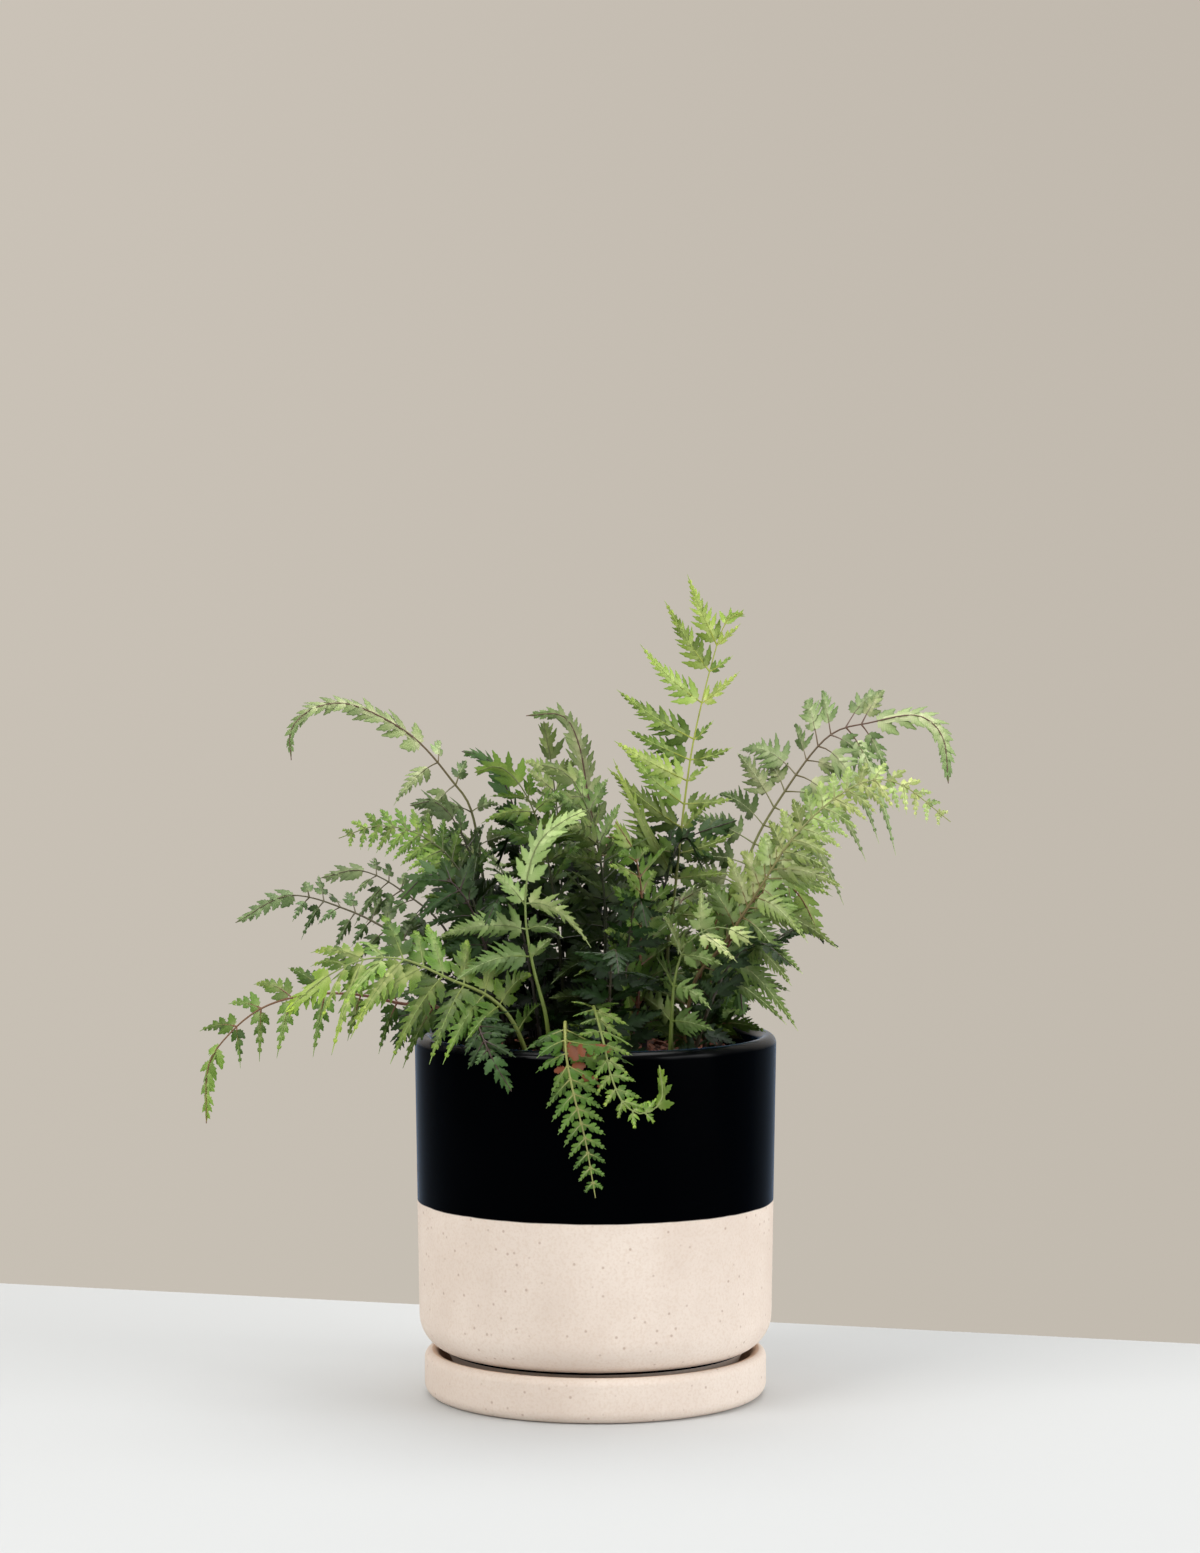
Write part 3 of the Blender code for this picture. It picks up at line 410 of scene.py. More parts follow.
# The side veins of a pinnule, and the share of the light that comes through a leaf
VEINS = 8.0
VEIN_SLANT = 2.0
VEIN_HALF = 0.16
VEIN_PALE = 0.32
LEAF_THIN = 0.22

# The ribs, and the blade beside them that joins the pinnules
RIDGE = 0.16
RIDGE_FALL = 0.6
COSTA_HALF = 0.4
COSTA_TIP_HALF = 0.1
COSTA_TAPER = 0.5
COSTA_SUNK = 0.8
WING_STATIONS = 10
WING_THICK = 0.1
WING_THINS = 0.7
WING_ACROSS = 0.4
WING_EDGE = 0.08
WING_SUNK = 0.3
JOINED_BASE = 0.14
JOINED_TIP = 0.6

# The stalks, and which of a frond's two materials is which
SLIMMER = 0.5
RACHIS_SIDES = 8
RACHIS_STEP = 4.0
RACHIS_ROOTED = 5.0
BLADE_KIND = 0
STEM_KIND = 1

# Pinnae between those of the solids, in one more layer. It ends early on two fronds, and the open ones have
# none.
EXTRA_LIFT_DEG = 26.0
EXTRA_REACH = (0.7, 1.0)
EXTRA_LOW = (0.3, 0.6)
EXTRA_END = {"tall": 0.66, "right_arch": 0.74}
OPEN_FRONDS = ("left_arch", "left_low", "front_drop", "centre_front", "right_curvy", "top_thin")


class Look(NamedTuple):
    """Foliage colours, as 8-bit values, then how pointed and how slim the pinnules are, from 0 to 1."""

    rib: tuple
    blade: tuple
    margin: tuple
    tip: tuple
    foot: tuple
    rachis: tuple
    pointed: float
    slim: float


LOOKS = {
    "fresh": Look((198, 211, 138), (154, 182, 82), (112, 146, 50), (194, 216, 98),
                  (136, 146, 54), (164, 174, 72), 0.8, 0.2),
    "lime": Look((207, 213, 167), (168, 188, 112), (142, 168, 84), (184, 202, 112),
                 (112, 92, 54), (148, 154, 92), 0.7, 0.0),
    "bright": Look((176, 188, 122), (112, 146, 62), (142, 182, 68), (182, 212, 76),
                   (126, 140, 66), (136, 152, 84), 0.8, 0.0),
    "silver": Look((212, 216, 174), (157, 177, 118), (78, 104, 58), (104, 134, 76),
                   (128, 138, 74), (100, 74, 60), 0.6, 0.0),
    "mid": Look((150, 166, 104), (108, 140, 58), (80, 118, 32), (146, 172, 74),
                (112, 66, 44), (122, 86, 54), 0.6, 0.0),
    "drop": Look((122, 144, 84), (92, 130, 42), (66, 106, 28), (116, 146, 70),
                 (150, 156, 80), (146, 150, 84), 0.0, 0.0),
    "pale": Look((188, 198, 146), (152, 176, 108), (112, 142, 72), (176, 190, 124),
                 (118, 138, 62), (116, 132, 74), 0.8, 0.0),
    "olive": Look((186, 194, 138), (128, 154, 80), (84, 116, 48), (150, 168, 104),
                  (110, 126, 62), (104, 112, 66), 0.7, 0.0),
    "leafy": Look((160, 178, 96), (104, 140, 54), (66, 108, 28), (140, 172, 76),
                  (110, 118, 56), (112, 122, 66), 0.7, 0.0),
    "grey": Look((152, 168, 122), (98, 122, 76), (60, 84, 44), (126, 148, 98),
                 (96, 90, 60), (96, 90, 64), 0.7, 0.1),
    # The dark look is partly the deeper green of older fronds, partly painted shade; the last look, for the
    # low fronds inside the plant, is painted shade
    "dark": Look((80, 104, 66), (50, 78, 36), (28, 54, 22), (74, 104, 46),
                 (66, 50, 38), (62, 46, 38), 0.6, 0.0),
    "deep": Look((50, 76, 40), (30, 54, 18), (14, 34, 10), (48, 78, 28),
                 (50, 44, 30), (54, 52, 34), 0.6, 0.0),
}
FRONDS_BY_LOOK = {
    "fresh": ("tall",),
    "lime": ("right_front",),
    "bright": ("left_bright", "front_right_drop"),
    "silver": ("right_arch", "left_arch", "top_thin", "back_right"),
    "mid": ("left_low", "centre_upright", "right_inner", "right_low", "right_back", "back_middle"),
    "drop": ("front_drop",),
    "pale": ("centre_front", "right_curvy", "back_left"),
    "olive": ("top_centre", "centre_olive"),
    "leafy": ("left_mid", "top_left"),
    "grey": ("left_dark", "left_behind", "left_upper"),
    "dark": ("top_left_dark", "dark_behind", "left_inner", "right_hang", "left_rim", "front_left_drop"),
}
LOOK_OF = {frond: look for look, fronds in FRONDS_BY_LOOK.items() for frond in fronds}
# The low fronds inside the plant take the look of painted shade
LOW_LOOK = "deep"

# The look with a few dry pinnules, where along the frond they are, and the tone above which a pinnule is dry
DRY_LOOK = "drop"
DRY_SHARE = (0.3, 0.4)
DRY_TONE = (1.3, 1.36)

# Combs whose pinnules are shorter than the outline
NARROW_COMBS = {"right_arch": 0.75, "back_middle": 0.9}

# Fronds whose pinnules are larger than the rule's, and by how much
COARSE = {"front_drop": 1.5, "front_right_drop": 1.7, "front_left_drop": 1.4, "left_bright": 1.35,
          "left_low": 1.3, "left_mid": 1.2, "left_rim": 1.4, "centre_upright": 1.3, "top_left_dark": 1.3,
          "right_curvy": 1.3, "tall": 1.1}

# Colours as 8-bit values, in pairs where a surface ranges between two
BISQUE = ((226, 210, 197), (236, 222, 210))
BISQUE_PITS = (210, 186, 164)
BISQUE_SPECKS = (150, 108, 80)
SAUCER_BLUSH = (206, 164, 128)
BARK = ((52, 30, 20), (150, 92, 66))
BARK_FIBRES = (38, 22, 16)
DRY_BROWN = (136, 76, 46)
LIGHT_THROUGH = (140, 180, 40)
STEM_SPOTS = (70, 40, 30)
# The wall's glow, painted light: lighter to the left, and dimmer at its foot
WALL_GLOW_SIDES = ((203, 195, 184), (192, 184, 173))
WALL_GLOW_FOOT = (195, 188, 176)
TABLE = ((203, 205, 206), (208, 210, 211))
ROOM = (198, 196, 192)

# Colours as the shaders take them
GLAZE = ((0.0002, 0.0003, 0.0005, 1), (0.0004, 0.0006, 0.001, 1))
GLAZE_EDGE_TINT = (0.2, 0.5, 1.0, 1)
LEAF_TINTS = ((0.88, 1.0, 0.86, 1), (1.06, 1.0, 0.94, 1))
WALL_BASE = ((0, 0, 0, 1), (0.004, 0.004, 0.004, 1))

# Noise of the surfaces: its scale, then its detail and roughness where they aren't the usual ones
WOBBLE_NOISE = (60.0, 2.0)
GLAZE_NOISE = (35.0,)
SATIN_NOISE = (220.0, 4.0)
CLOUD_NOISE = (22.0, 4.0, 0.6)
GRAIN_NOISE = (900.0, 2.0)
BLUSH_NOISE = (30.0,)
FIBRE_NOISE = (700.0, 4.0, 0.7)
MOTTLE_NOISE = (160.0, 3.0, 0.6)
STREAK_NOISE = (240.0,)
WALL_NOISE = (2.0,)
TABLE_NOISE = (3.0, 2.0)
SPECK_SCALE = 190.0

# From where to where a value counts, then what it is there if that isn't 0 and 1
NOISE_RANGE = (0.3, 0.7)
PIT_RANGE = (0.4, 0.75, 0.0, 0.3)
SPECK_RANGE = (0.05, 0.16, 0.45, 0.0)
BLUSH_RANGE = (0.3, 0.7, 0.35, 0.7)
FIBRE_RANGE = (0.35, 0.7, 0.0, 0.6)
RIB_RANGE = (0.05, 0.7, 0.0, 0.85)
MARGIN_ACROSS = (0.35, 1.0)
MARGIN_OUT = (0.1, 0.8)
YOUNG_PINNA = (0.5, 1.0)
YOUNG_FROND = (0.6, 1.0)
# The lower pinnae of each frond are darker, partly the deeper green of older leaves and partly painted shade
AGE_AND_SHADE_RANGE = (0.25, 0.8, 0.52, 1.0)
FOOT_RANGE = (0.25, 0.75)
MIDRIB_RANGE = (0.1, 0.6)
SPOT_RANGE = (0.4, 0.8, 0.0, 0.3)
WALL_ACROSS = (-1.0, 1.0)
WALL_UP = (-0.5, 1.5)

# Shares of the leaf's colours, and how rough and how raised the surfaces are
MOTTLED = 0.7
MARGIN_GREEN = 0.8
YOUNG_TIP = 0.8
YOUNG_END = 0.3
MIDRIB_PALE = 0.22
UNSPOTTED_RIB = 0.8
LEAF_ROUGHNESS = 0.42
LEAF_SHEEN = 0.3
SAUCER_ROUGHNESS = 0.85
SOIL_ROUGHNESS = 0.9
STEM_ROUGHNESS = 0.45
TABLE_ROUGHNESS = 0.7
GLAZE_LEVEL = 0.8
FINE_BUMP = (0.3, 0.3)
STEM_BUMP = (0.2, 0.3)
SOIL_BUMP = (0.6, 0.8)

# Table, background, lights and camera
TABLE_EDGE_LEFT = (-288.0, 265.0)
TABLE_EDGE_RIGHT = (265.0, 107.0)
TABLE_REACH = 1600.0
TABLE_DEPTH = 1.6 * TABLE_REACH
WALL_AWAY = 3000.0
WALL_HALF_WIDTH = 5000.0
WALL_LOW = -2500.0
WALL_HIGH = 4000.0
ROOM_LIGHT = 0.5
LIT_PLACE = (0, 0, 150)
CAMERA_PLACE = (0.0, -1652.0, 327.0)
CAMERA_DOWN_DEG = 2.45
CAMERA_LENS = 92.58
CAMERA_SENSOR = 36.0
CAMERA_SHIFT = 0.0029
CAMERA_CLIP = (0.01, 50)

# Soft boxes, a large one up on the left, one on the right and one above: place, size, watts and colour
LIGHTS = {
    "key": ((-1500, -1300, 1500), (1300, 1300), 33, (1.0, 0.99, 0.97)),
    "fill": ((1700, -900, 700), (1200, 1400), 25, (0.98, 0.99, 1.0)),
    "top": ((100, 300, 1900), (1500, 1500), 26, (1.0, 1.0, 1.0)),
}


def linear(colour):
    """An 8-bit colour as the shaders take it."""
    values = []
    for part in colour:
        share = part / 255
        values.append(share / 12.92 if share <= 0.04045 else ((share + 0.055) / 1.055) ** 2.4)
    return (*values, 1.0)


class Nodes:
    """A short way to make and join a material's nodes."""

    def __init__(self, name):
        self.material = bpy.data.materials.new(name)
        self.material.use_nodes = True
        self.tree = self.material.node_tree
        self.shader = self.tree.nodes["Principled BSDF"]
        self.output = self.tree.nodes["Material Output"]
        self.place = self.add("ShaderNodeTexCoord").outputs["Object"]

    def add(self, kind, **settings):
        node = self.tree.nodes.new(kind)
        for key, value in settings.items():
            setattr(node, key, value)
        return node

    def link(self, source, target):
        """Joins an output to an input, or writes a plain value there."""
        if isinstance(source, bpy.types.NodeSocket):
            self.tree.links.new(source, target)
        else:
            target.default_value = source

    def feed(self, socket, source):
        """Joins an output to the shader's input of that name, or writes a plain value there."""
        self.link(source, self.shader.inputs[socket])

    def math(self, operation, first, second=0.0, clamp=False):
        node = self.add("ShaderNodeMath", operation=operation, use_clamp=clamp)
        self.link(first, node.inputs[0])
        self.link(second, node.inputs[1])
        return node.outputs[0]

    def plus(self, first, second, clamp=False):
        return self.math("ADD", first, second, clamp)

    def minus(self, first, second):
        return self.math("SUBTRACT", first, second)

    def times(self, first, second):
        return self.math("MULTIPLY", first, second)

    def mix(self, share, first, second, blend="MIX"):
        node = self.add("ShaderNodeMix", data_type="RGBA", blend_type=blend)
        self.link(share, node.inputs["Factor"])
        self.link(first, node.inputs["A"])
        self.link(second, node.inputs["B"])
        return node.outputs["Result"]

    def between(self, share, colours):
        """A colour between two 8-bit ones."""
        return self.mix(share, linear(colours[0]), linear(colours[1]))

    def scaled(self, colour, shares):
        """A colour with its red, green and blue multiplied by a share each."""
        node = self.add("ShaderNodeCombineColor")
        for share, socket in zip(shares, node.inputs):
            self.link(share, socket)
        return self.mix(1.0, colour, node.outputs[0], "MULTIPLY")

    def noise(self, scale, detail=3.0, roughness=0.5):
        node = self.add("ShaderNodeTexNoise")
        self.link(self.place, node.inputs["Vector"])
        self.link(scale, node.inputs["Scale"])
        self.link(detail, node.inputs["Detail"])
        self.link(roughness, node.inputs["Roughness"])
        return node.outputs["Fac"]

    def spread(self, value, low, high, start=0.0, end=1.0):
        """The value's range from low to high, spread over start to end."""
        node = self.add("ShaderNodeMapRange", interpolation_type="SMOOTHSTEP")
        self.link(value, node.inputs["Value"])
        self.link(low, node.inputs["From Min"])
        self.link(high, node.inputs["From Max"])
        self.link(start, node.inputs["To Min"])
        self.link(end, node.inputs["To Max"])
        return node.outputs["Result"]

    def bump(self, height, strength, distance):
        node = self.add("ShaderNodeBump")
        self.link(strength, node.inputs["Strength"])
        self.link(distance * MM, node.inputs["Distance"])
        self.link(height, node.inputs["Height"])
        self.feed("Normal", node.outputs["Normal"])

    def split(self, vector):
        """The three numbers of a vector."""
        node = self.add("ShaderNodeSeparateXYZ")
        self.link(vector, node.inputs[0])
        return tuple(node.outputs)

    def parts(self, attribute):
        """The three numbers of an attribute of the mesh."""
        return self.split(self.add("ShaderNodeAttribute", attribute_name=attribute).outputs["Vector"])


def bisque_colour(nodes):
    """Unglazed stoneware, peach beige with soft clouds, fine pits and a few iron specks, and its grain."""
    clouds = nodes.spread(nodes.noise(*CLOUD_NOISE), *NOISE_RANGE)
    grain = nodes.noise(*GRAIN_NOISE)
    pits = nodes.spread(grain, *PIT_RANGE)
    colour = nodes.mix(pits, nodes.between(clouds, BISQUE), linear(BISQUE_PITS))
    specks = nodes.add("ShaderNodeTexVoronoi", feature="F1")
    nodes.link(nodes.place, specks.inputs["Vector"])
    nodes.link(SPECK_SCALE, specks.inputs["Scale"])
    spot = nodes.spread(specks.outputs["Distance"], *SPECK_RANGE)
    return nodes.mix(spot, colour, linear(BISQUE_SPECKS)), grain


def ceramic_material():
    """Bisque below the glaze line, and a satin blue-black glaze above it and inside."""
    nodes = Nodes("ceramic")
    wobble = nodes.times(nodes.minus(nodes.noise(*WOBBLE_NOISE), 0.5), GLAZE_WOBBLE * MM)
    level = nodes.plus(nodes.split(nodes.place)[2], wobble)
    above = nodes.spread(level, (GLAZE_LINE - GLAZE_SOFT) * MM, (GLAZE_LINE + GLAZE_SOFT) * MM)
    glazed = nodes.math("MAXIMUM", above, nodes.parts("inside")[0])
    bare = nodes.minus(1.0, glazed)
    bisque, grain = bisque_colour(nodes)
    nodes.feed("Base Color", nodes.mix(glazed, bisque, nodes.mix(nodes.noise(*GLAZE_NOISE), *GLAZE)))
    satin = nodes.spread(nodes.noise(*SATIN_NOISE), *NOISE_RANGE, *GLAZE_ROUGHNESS)
    nodes.feed("Roughness", nodes.plus(nodes.times(nodes.minus(BISQUE_ROUGHNESS, satin), bare), satin))
    rim = nodes.spread(level, (POT_TOP - RIM_DEEP) * MM, (POT_TOP - RIM_FULL) * MM, GLAZE_SHEEN, RIM_SHEEN)
    nodes.feed("Specular IOR Level", nodes.plus(rim, nodes.times(bare, BISQUE_SHEEN)))
    nodes.feed("Sheen Weight", nodes.times(glazed, GLAZE_EDGE))
    nodes.feed("Sheen Roughness", GLAZE_EDGE_SPREAD)
    nodes.feed("Sheen Tint", GLAZE_EDGE_TINT)
    nodes.bump(nodes.plus(nodes.times(grain, bare), nodes.times(glazed, GLAZE_LEVEL)), *FINE_BUMP)
    return nodes.material


def saucer_material():
    """Bisque with a warmer blush inside."""
    nodes = Nodes("bisque")
    bisque, grain = bisque_colour(nodes)
    blush = nodes.times(nodes.parts("inside")[0], nodes.spread(nodes.noise(*BLUSH_NOISE), *BLUSH_RANGE))
    nodes.feed("Base Color", nodes.mix(blush, bisque, linear(SAUCER_BLUSH)))
    nodes.feed("Roughness", SAUCER_ROUGHNESS)
    nodes.bump(grain, *FINE_BUMP)
    return nodes.material


def soil_material():
    """Reddish bark and coir: each chip has its own tone."""
    nodes = Nodes("soil")
    fibres = nodes.noise(*FIBRE_NOISE)
    share = nodes.spread(fibres, *FIBRE_RANGE)
    colour = nodes.between(nodes.parts("chip")[0], BARK)
    nodes.feed("Base Color", nodes.mix(share, colour, linear(BARK_FIBRES)))
    nodes.feed("Roughness", SOIL_ROUGHNESS)
    nodes.bump(fibres, *SOIL_BUMP)
    return nodes.material


def painted_place_shade(nodes):
    """Painted shade on the foliage by its place: darkest in the middle of the plant and low down."""
    x, y, z = nodes.split(nodes.place)
    left = nodes.plus(x, SHADE_LEFT * MM)
    back = nodes.minus(y, SHADE_BACK * MM)
    away = nodes.math("SQRT", nodes.plus(nodes.times(left, left), nodes.times(back, back)))
    outer = nodes.spread(away, SHADE_INNER * MM, SHADE_OUTER * MM)
    upper = nodes.spread(z, SHADE_LOW * MM, SHADE_HIGH * MM)
    return nodes.spread(nodes.math("MAXIMUM", outer, upper), 0.0, 1.0, SHADE_DARKEST, 1.0)


def vein_lines(nodes, out, across):
    """1 on the side veins of a pinnule and 0 between them."""
    stripes = nodes.minus(nodes.times(out, VEINS), nodes.times(across, VEIN_SLANT))
    wave = nodes.math("ABSOLUTE", nodes.minus(nodes.math("FRACT", stripes), 0.5))
    return nodes.spread(wave, 0.0, VEIN_HALF, 1.0, 0.0)


def blade_colour(nodes, look, leaf, share, mottle, veins):
    """Pale beside the rib, greener towards the margin and fresher at the pinna's tip, with side veins."""
    rib, blade, margin, tip = [linear(colour) for colour in look[:4]]
    out, across, along = leaf
    pale = nodes.minus(nodes.minus(1.0, out), nodes.times(mottle, MOTTLED))
    colour = nodes.mix(nodes.spread(pale, *RIB_RANGE), blade, rib)
    edge = nodes.times(nodes.spread(across, *MARGIN_ACROSS), nodes.spread(out, *MARGIN_OUT))
    colour = nodes.mix(nodes.times(edge, MARGIN_GREEN), colour, margin)
    young = nodes.plus(nodes.times(nodes.spread(along, *YOUNG_PINNA), YOUNG_TIP),
                       nodes.times(nodes.spread(share, *YOUNG_FROND), YOUNG_END), clamp=True)
    colour = nodes.mix(young, colour, tip)
    return nodes.mix(nodes.times(veins, VEIN_PALE), colour, rib)


def shaded_colour(nodes, colour, growth):
    """The colour with a pinna's hue and a pinnule's tone, and painted shade on the old low pinnae and
    mid-plant.
    """
    share, tone, hue = growth
    tint = nodes.mix(nodes.spread(hue, -1.0, 1.0), *LEAF_TINTS)
    # Lower pinnae darker: partly the deeper green of older leaves, partly painted shade; painted shade
    # mid-plant
    age_and_shade = nodes.times(nodes.spread(share, *AGE_AND_SHADE_RANGE), painted_place_shade(nodes))
    shade = nodes.times(age_and_shade, nodes.plus(1.0, nodes.times(tone, TONE_GAIN)))
    powers = [nodes.math("POWER", shade, power) for power in SHADE_POWERS]
    return nodes.scaled(nodes.mix(1.0, colour, tint, "MULTIPLY"), powers)


def let_light_through(nodes, colour):
    """Part of the light on a thin leaf comes out on its other side."""
    through = nodes.add("ShaderNodeBsdfTranslucent")
    nodes.link(nodes.mix(0.5, colour, linear(LIGHT_THROUGH)), through.inputs["Color"])
    blend = nodes.add("ShaderNodeMixShader")
    for source, socket in zip((LEAF_THIN, nodes.shader.outputs[0], through.outputs[0]), blend.inputs):
        nodes.link(source, socket)
    nodes.link(blend.outputs[0], nodes.output.inputs["Surface"])


def blade_material(name, look, dry):
    """A thin leaf with veins, in some looks with dry pinnules."""
    nodes = Nodes(name)
    leaf = nodes.parts("leaf")
    growth = nodes.parts("growth")
    mottle = nodes.noise(*MOTTLE_NOISE)
    veins = vein_lines(nodes, leaf[0], leaf[1])
    colour = shaded_colour(nodes, blade_colour(nodes, look, leaf, growth[0], mottle, veins), growth)
    if dry:
        brown = nodes.times(nodes.spread(growth[1], *DRY_TONE), nodes.spread(growth[0], *DRY_SHARE))
        colour = nodes.mix(brown, colour, linear(DRY_BROWN))
    nodes.feed("Base Color", colour)
    nodes.feed("Roughness", LEAF_ROUGHNESS)
    nodes.feed("Specular IOR Level", LEAF_SHEEN)
    nodes.bump(nodes.plus(veins, mottle), *FINE_BUMP)
    let_light_through(nodes, colour)
    return nodes.material


def stem_material(name, look):
    """Stalk, rachis and costae: the foot's colour, then the rachis's, and the rib's on the pinnae, with
    painted shade.
    """
    nodes = Nodes(name)
    along = nodes.parts("leaf")[2]
    share, _, costa = nodes.parts("growth")
    colour = nodes.between(nodes.spread(share, *FOOT_RANGE), (look.foot, look.rachis))
    midrib = nodes.between(MIDRIB_PALE, (look.blade, look.rib))
    colour = nodes.mix(nodes.times(costa, nodes.spread(along, *MIDRIB_RANGE)), colour, midrib)
    streak = nodes.noise(*STREAK_NOISE)
    dull = nodes.minus(1.0, nodes.times(costa, UNSPOTTED_RIB))
    spots = nodes.times(nodes.spread(streak, *SPOT_RANGE), dull)
    colour = nodes.mix(spots, colour, linear(STEM_SPOTS))
    # Painted shade on the stalks, the same as on the leaves, darkest in the plant's middle
    nodes.feed("Base Color", nodes.scaled(colour, [painted_place_shade(nodes)] * 3))
    nodes.feed("Roughness", STEM_ROUGHNESS)
    nodes.bump(streak, *STEM_BUMP)
    return nodes.material


def wall_material():
    """The plain warm grey wall, painted as light: it glows, a little brighter to the left and above."""
    nodes = Nodes("wall")
    x, _, z = nodes.split(nodes.place)
    colour = nodes.between(nodes.spread(x, *WALL_ACROSS), WALL_GLOW_SIDES)
    foot = nodes.mix(0.5, colour, linear(WALL_GLOW_FOOT))
    nodes.feed("Emission Color", nodes.mix(nodes.spread(z, *WALL_UP), foot, colour))
    nodes.feed("Emission Strength", 1.0)
    nodes.feed("Base Color", nodes.mix(nodes.noise(*WALL_NOISE), *WALL_BASE))
    nodes.feed("Specular IOR Level", 0.0)
    return nodes.material


def table_material():
    nodes = Nodes("table")
    nodes.feed("Base Color", nodes.between(nodes.noise(*TABLE_NOISE), TABLE))
    nodes.feed("Roughness", TABLE_ROUGHNESS)
    return nodes.material


def set_numbers(mesh, name, values):
    """Writes three numbers, or only the first of them, for each vertex."""
    values = np.asarray(values, np.float32)
    if values.ndim == 1:
        values = np.column_stack((values, np.zeros((len(values), 2), np.float32)))
    mesh.attributes.new(name, "FLOAT_VECTOR", "POINT").data.foreach_set("vector", values.ravel())


def add_object(name, data):
    shown = bpy.data.objects.new(name, data)
    bpy.context.scene.collection.objects.link(shown)
    return shown


def finish_piece(name, mesh, materials, node):
    """Puts a mesh in the scene as the finer stand-in of a solid."""
    for made in materials:
        mesh.materials.append(made)
    mesh.shade_smooth()
    mesh.set_sharp_from_angle(angle=math.radians(SHARP_DEG))
    piece = add_object(name, mesh)
    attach(piece, "root")
    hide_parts(node)


def arc(centre, radius, start_deg, end_deg, steps):
    """Points (radius, height) along an arc of a turned profile."""
    points = []
    for step in range(steps + 1):
        angle = math.radians(start_deg + (end_deg - start_deg) * step / steps)
        points.append((centre[0] + radius * math.cos(angle), centre[1] + radius * math.sin(angle)))
    return points


def turned(name, inner, outer):
    """A closed body of revolution from its inner and outer profile, with a flag on the inner points."""
    profile = list(reversed(inner + outer))
    rows = len(profile)
    vertices, faces = [], []
    for step in range(ROUND_STEPS):
        angle = 2 * math.pi * step / ROUND_STEPS
        here = step * rows
        after = (step + 1) % ROUND_STEPS * rows
        for row, (radius, height) in enumerate(profile):
            vertices.append((radius * math.cos(angle) * MM, radius * math.sin(angle) * MM, height * MM))
            below = (row + 1) % rows
            faces.append((here + row, here + below, after + below, after + row))
    mesh = bpy.data.meshes.new(name)
    mesh.from_pydata(vertices, [], faces)
    set_numbers(mesh, "inside", np.tile([0] * len(outer) + [1] * len(inner), ROUND_STEPS))
    return mesh


def make_saucer():
    """The dish, with a rounded lip and foot."""
    lip_centre = (SAUCER_RADIUS - SAUCER_LIP_ROUND, SAUCER_LIP_TOP - SAUCER_LIP_ROUND)
    foot_centre = (SAUCER_RADIUS - SAUCER_FOOT_ROUND, SAUCER_FOOT_ROUND)
    inner_centre = (lip_centre[0] - SAUCER_LIP_ROUND - SAUCER_INNER_ROUND, SAUCER_FLOOR + SAUCER_INNER_ROUND)
    inner = [(AXIS_RADIUS, SAUCER_FLOOR), (SAUCER_MIDDLE, SAUCER_FLOOR)]
    inner += arc(inner_centre, SAUCER_INNER_ROUND, -90, 0, 6)
    inner += arc(lip_centre, SAUCER_LIP_ROUND, 180, 90, 8)
    outer = arc(lip_centre, SAUCER_LIP_ROUND, 80, 0, 8)
    outer += arc(foot_centre, SAUCER_FOOT_ROUND, 0, -90, 8)
    outer += [(SAUCER_MIDDLE, 0.0), (AXIS_RADIUS, 0.0)]
    mesh = turned("saucer_bisque", inner, outer)
    finish_piece("saucer_bisque", mesh, [saucer_material()], "saucer")


def pot_inside():
    """The pot's inner profile from the edge of its floor up to the straight wall."""
    floor = POT_FOOT_Z + POT_FLOOR_THICK
    wall = POT_RADIUS - POT_WALL
    inset, rise = POT_INNER_ROUND
    return [(POT_FLOOR_RADIUS, floor), (wall - inset, floor + rise), (wall, floor + POT_INNER_WALL_FOOT)]


def make_pot():
    """The cylinder, with a rounded lip and a shoulder that narrows to its foot."""
    lip_centre = (POT_RADIUS - POT_WALL / 2, POT_TOP - POT_WALL / 2)
    shoulder_centre = (POT_SHOULDER_RADIUS - POT_SHOULDER_ROUND, POT_SHOULDER_Z)
    inner = [(DRAIN_RADIUS, POT_FOOT_Z + POT_FLOOR_THICK)] + pot_inside()
    inner += arc(lip_centre, POT_WALL / 2, 180, 90, 10)
    outer = arc(lip_centre, POT_WALL / 2, 81, 0, 9)
    outer += arc(shoulder_centre, POT_SHOULDER_ROUND, 0, -POT_SHOULDER_ARC_DEG, 12)
    outer += [(POT_FOOT_RADIUS, POT_FOOT_Z), (DRAIN_RADIUS, POT_FOOT_Z)]
    mesh = turned("pot_ceramic", inner, outer)
    finish_piece("pot_ceramic", mesh, [ceramic_material()], "pot")


def chip_turn(turn, tilt, roll):
    """The rotation of a bark chip, as a matrix."""
    about_z = np.array([[math.cos(turn), -math.sin(turn), 0], [math.sin(turn), math.cos(turn), 0], [0, 0, 1]])
    about_y = np.array([[math.cos(tilt), 0, math.sin(tilt)], [0, 1, 0], [-math.sin(tilt), 0, math.cos(tilt)]])
    about_x = np.array([[1, 0, 0], [0, math.cos(roll), -math.sin(roll)], [0, math.sin(roll), math.cos(roll)]])
    return about_z @ about_y @ about_x


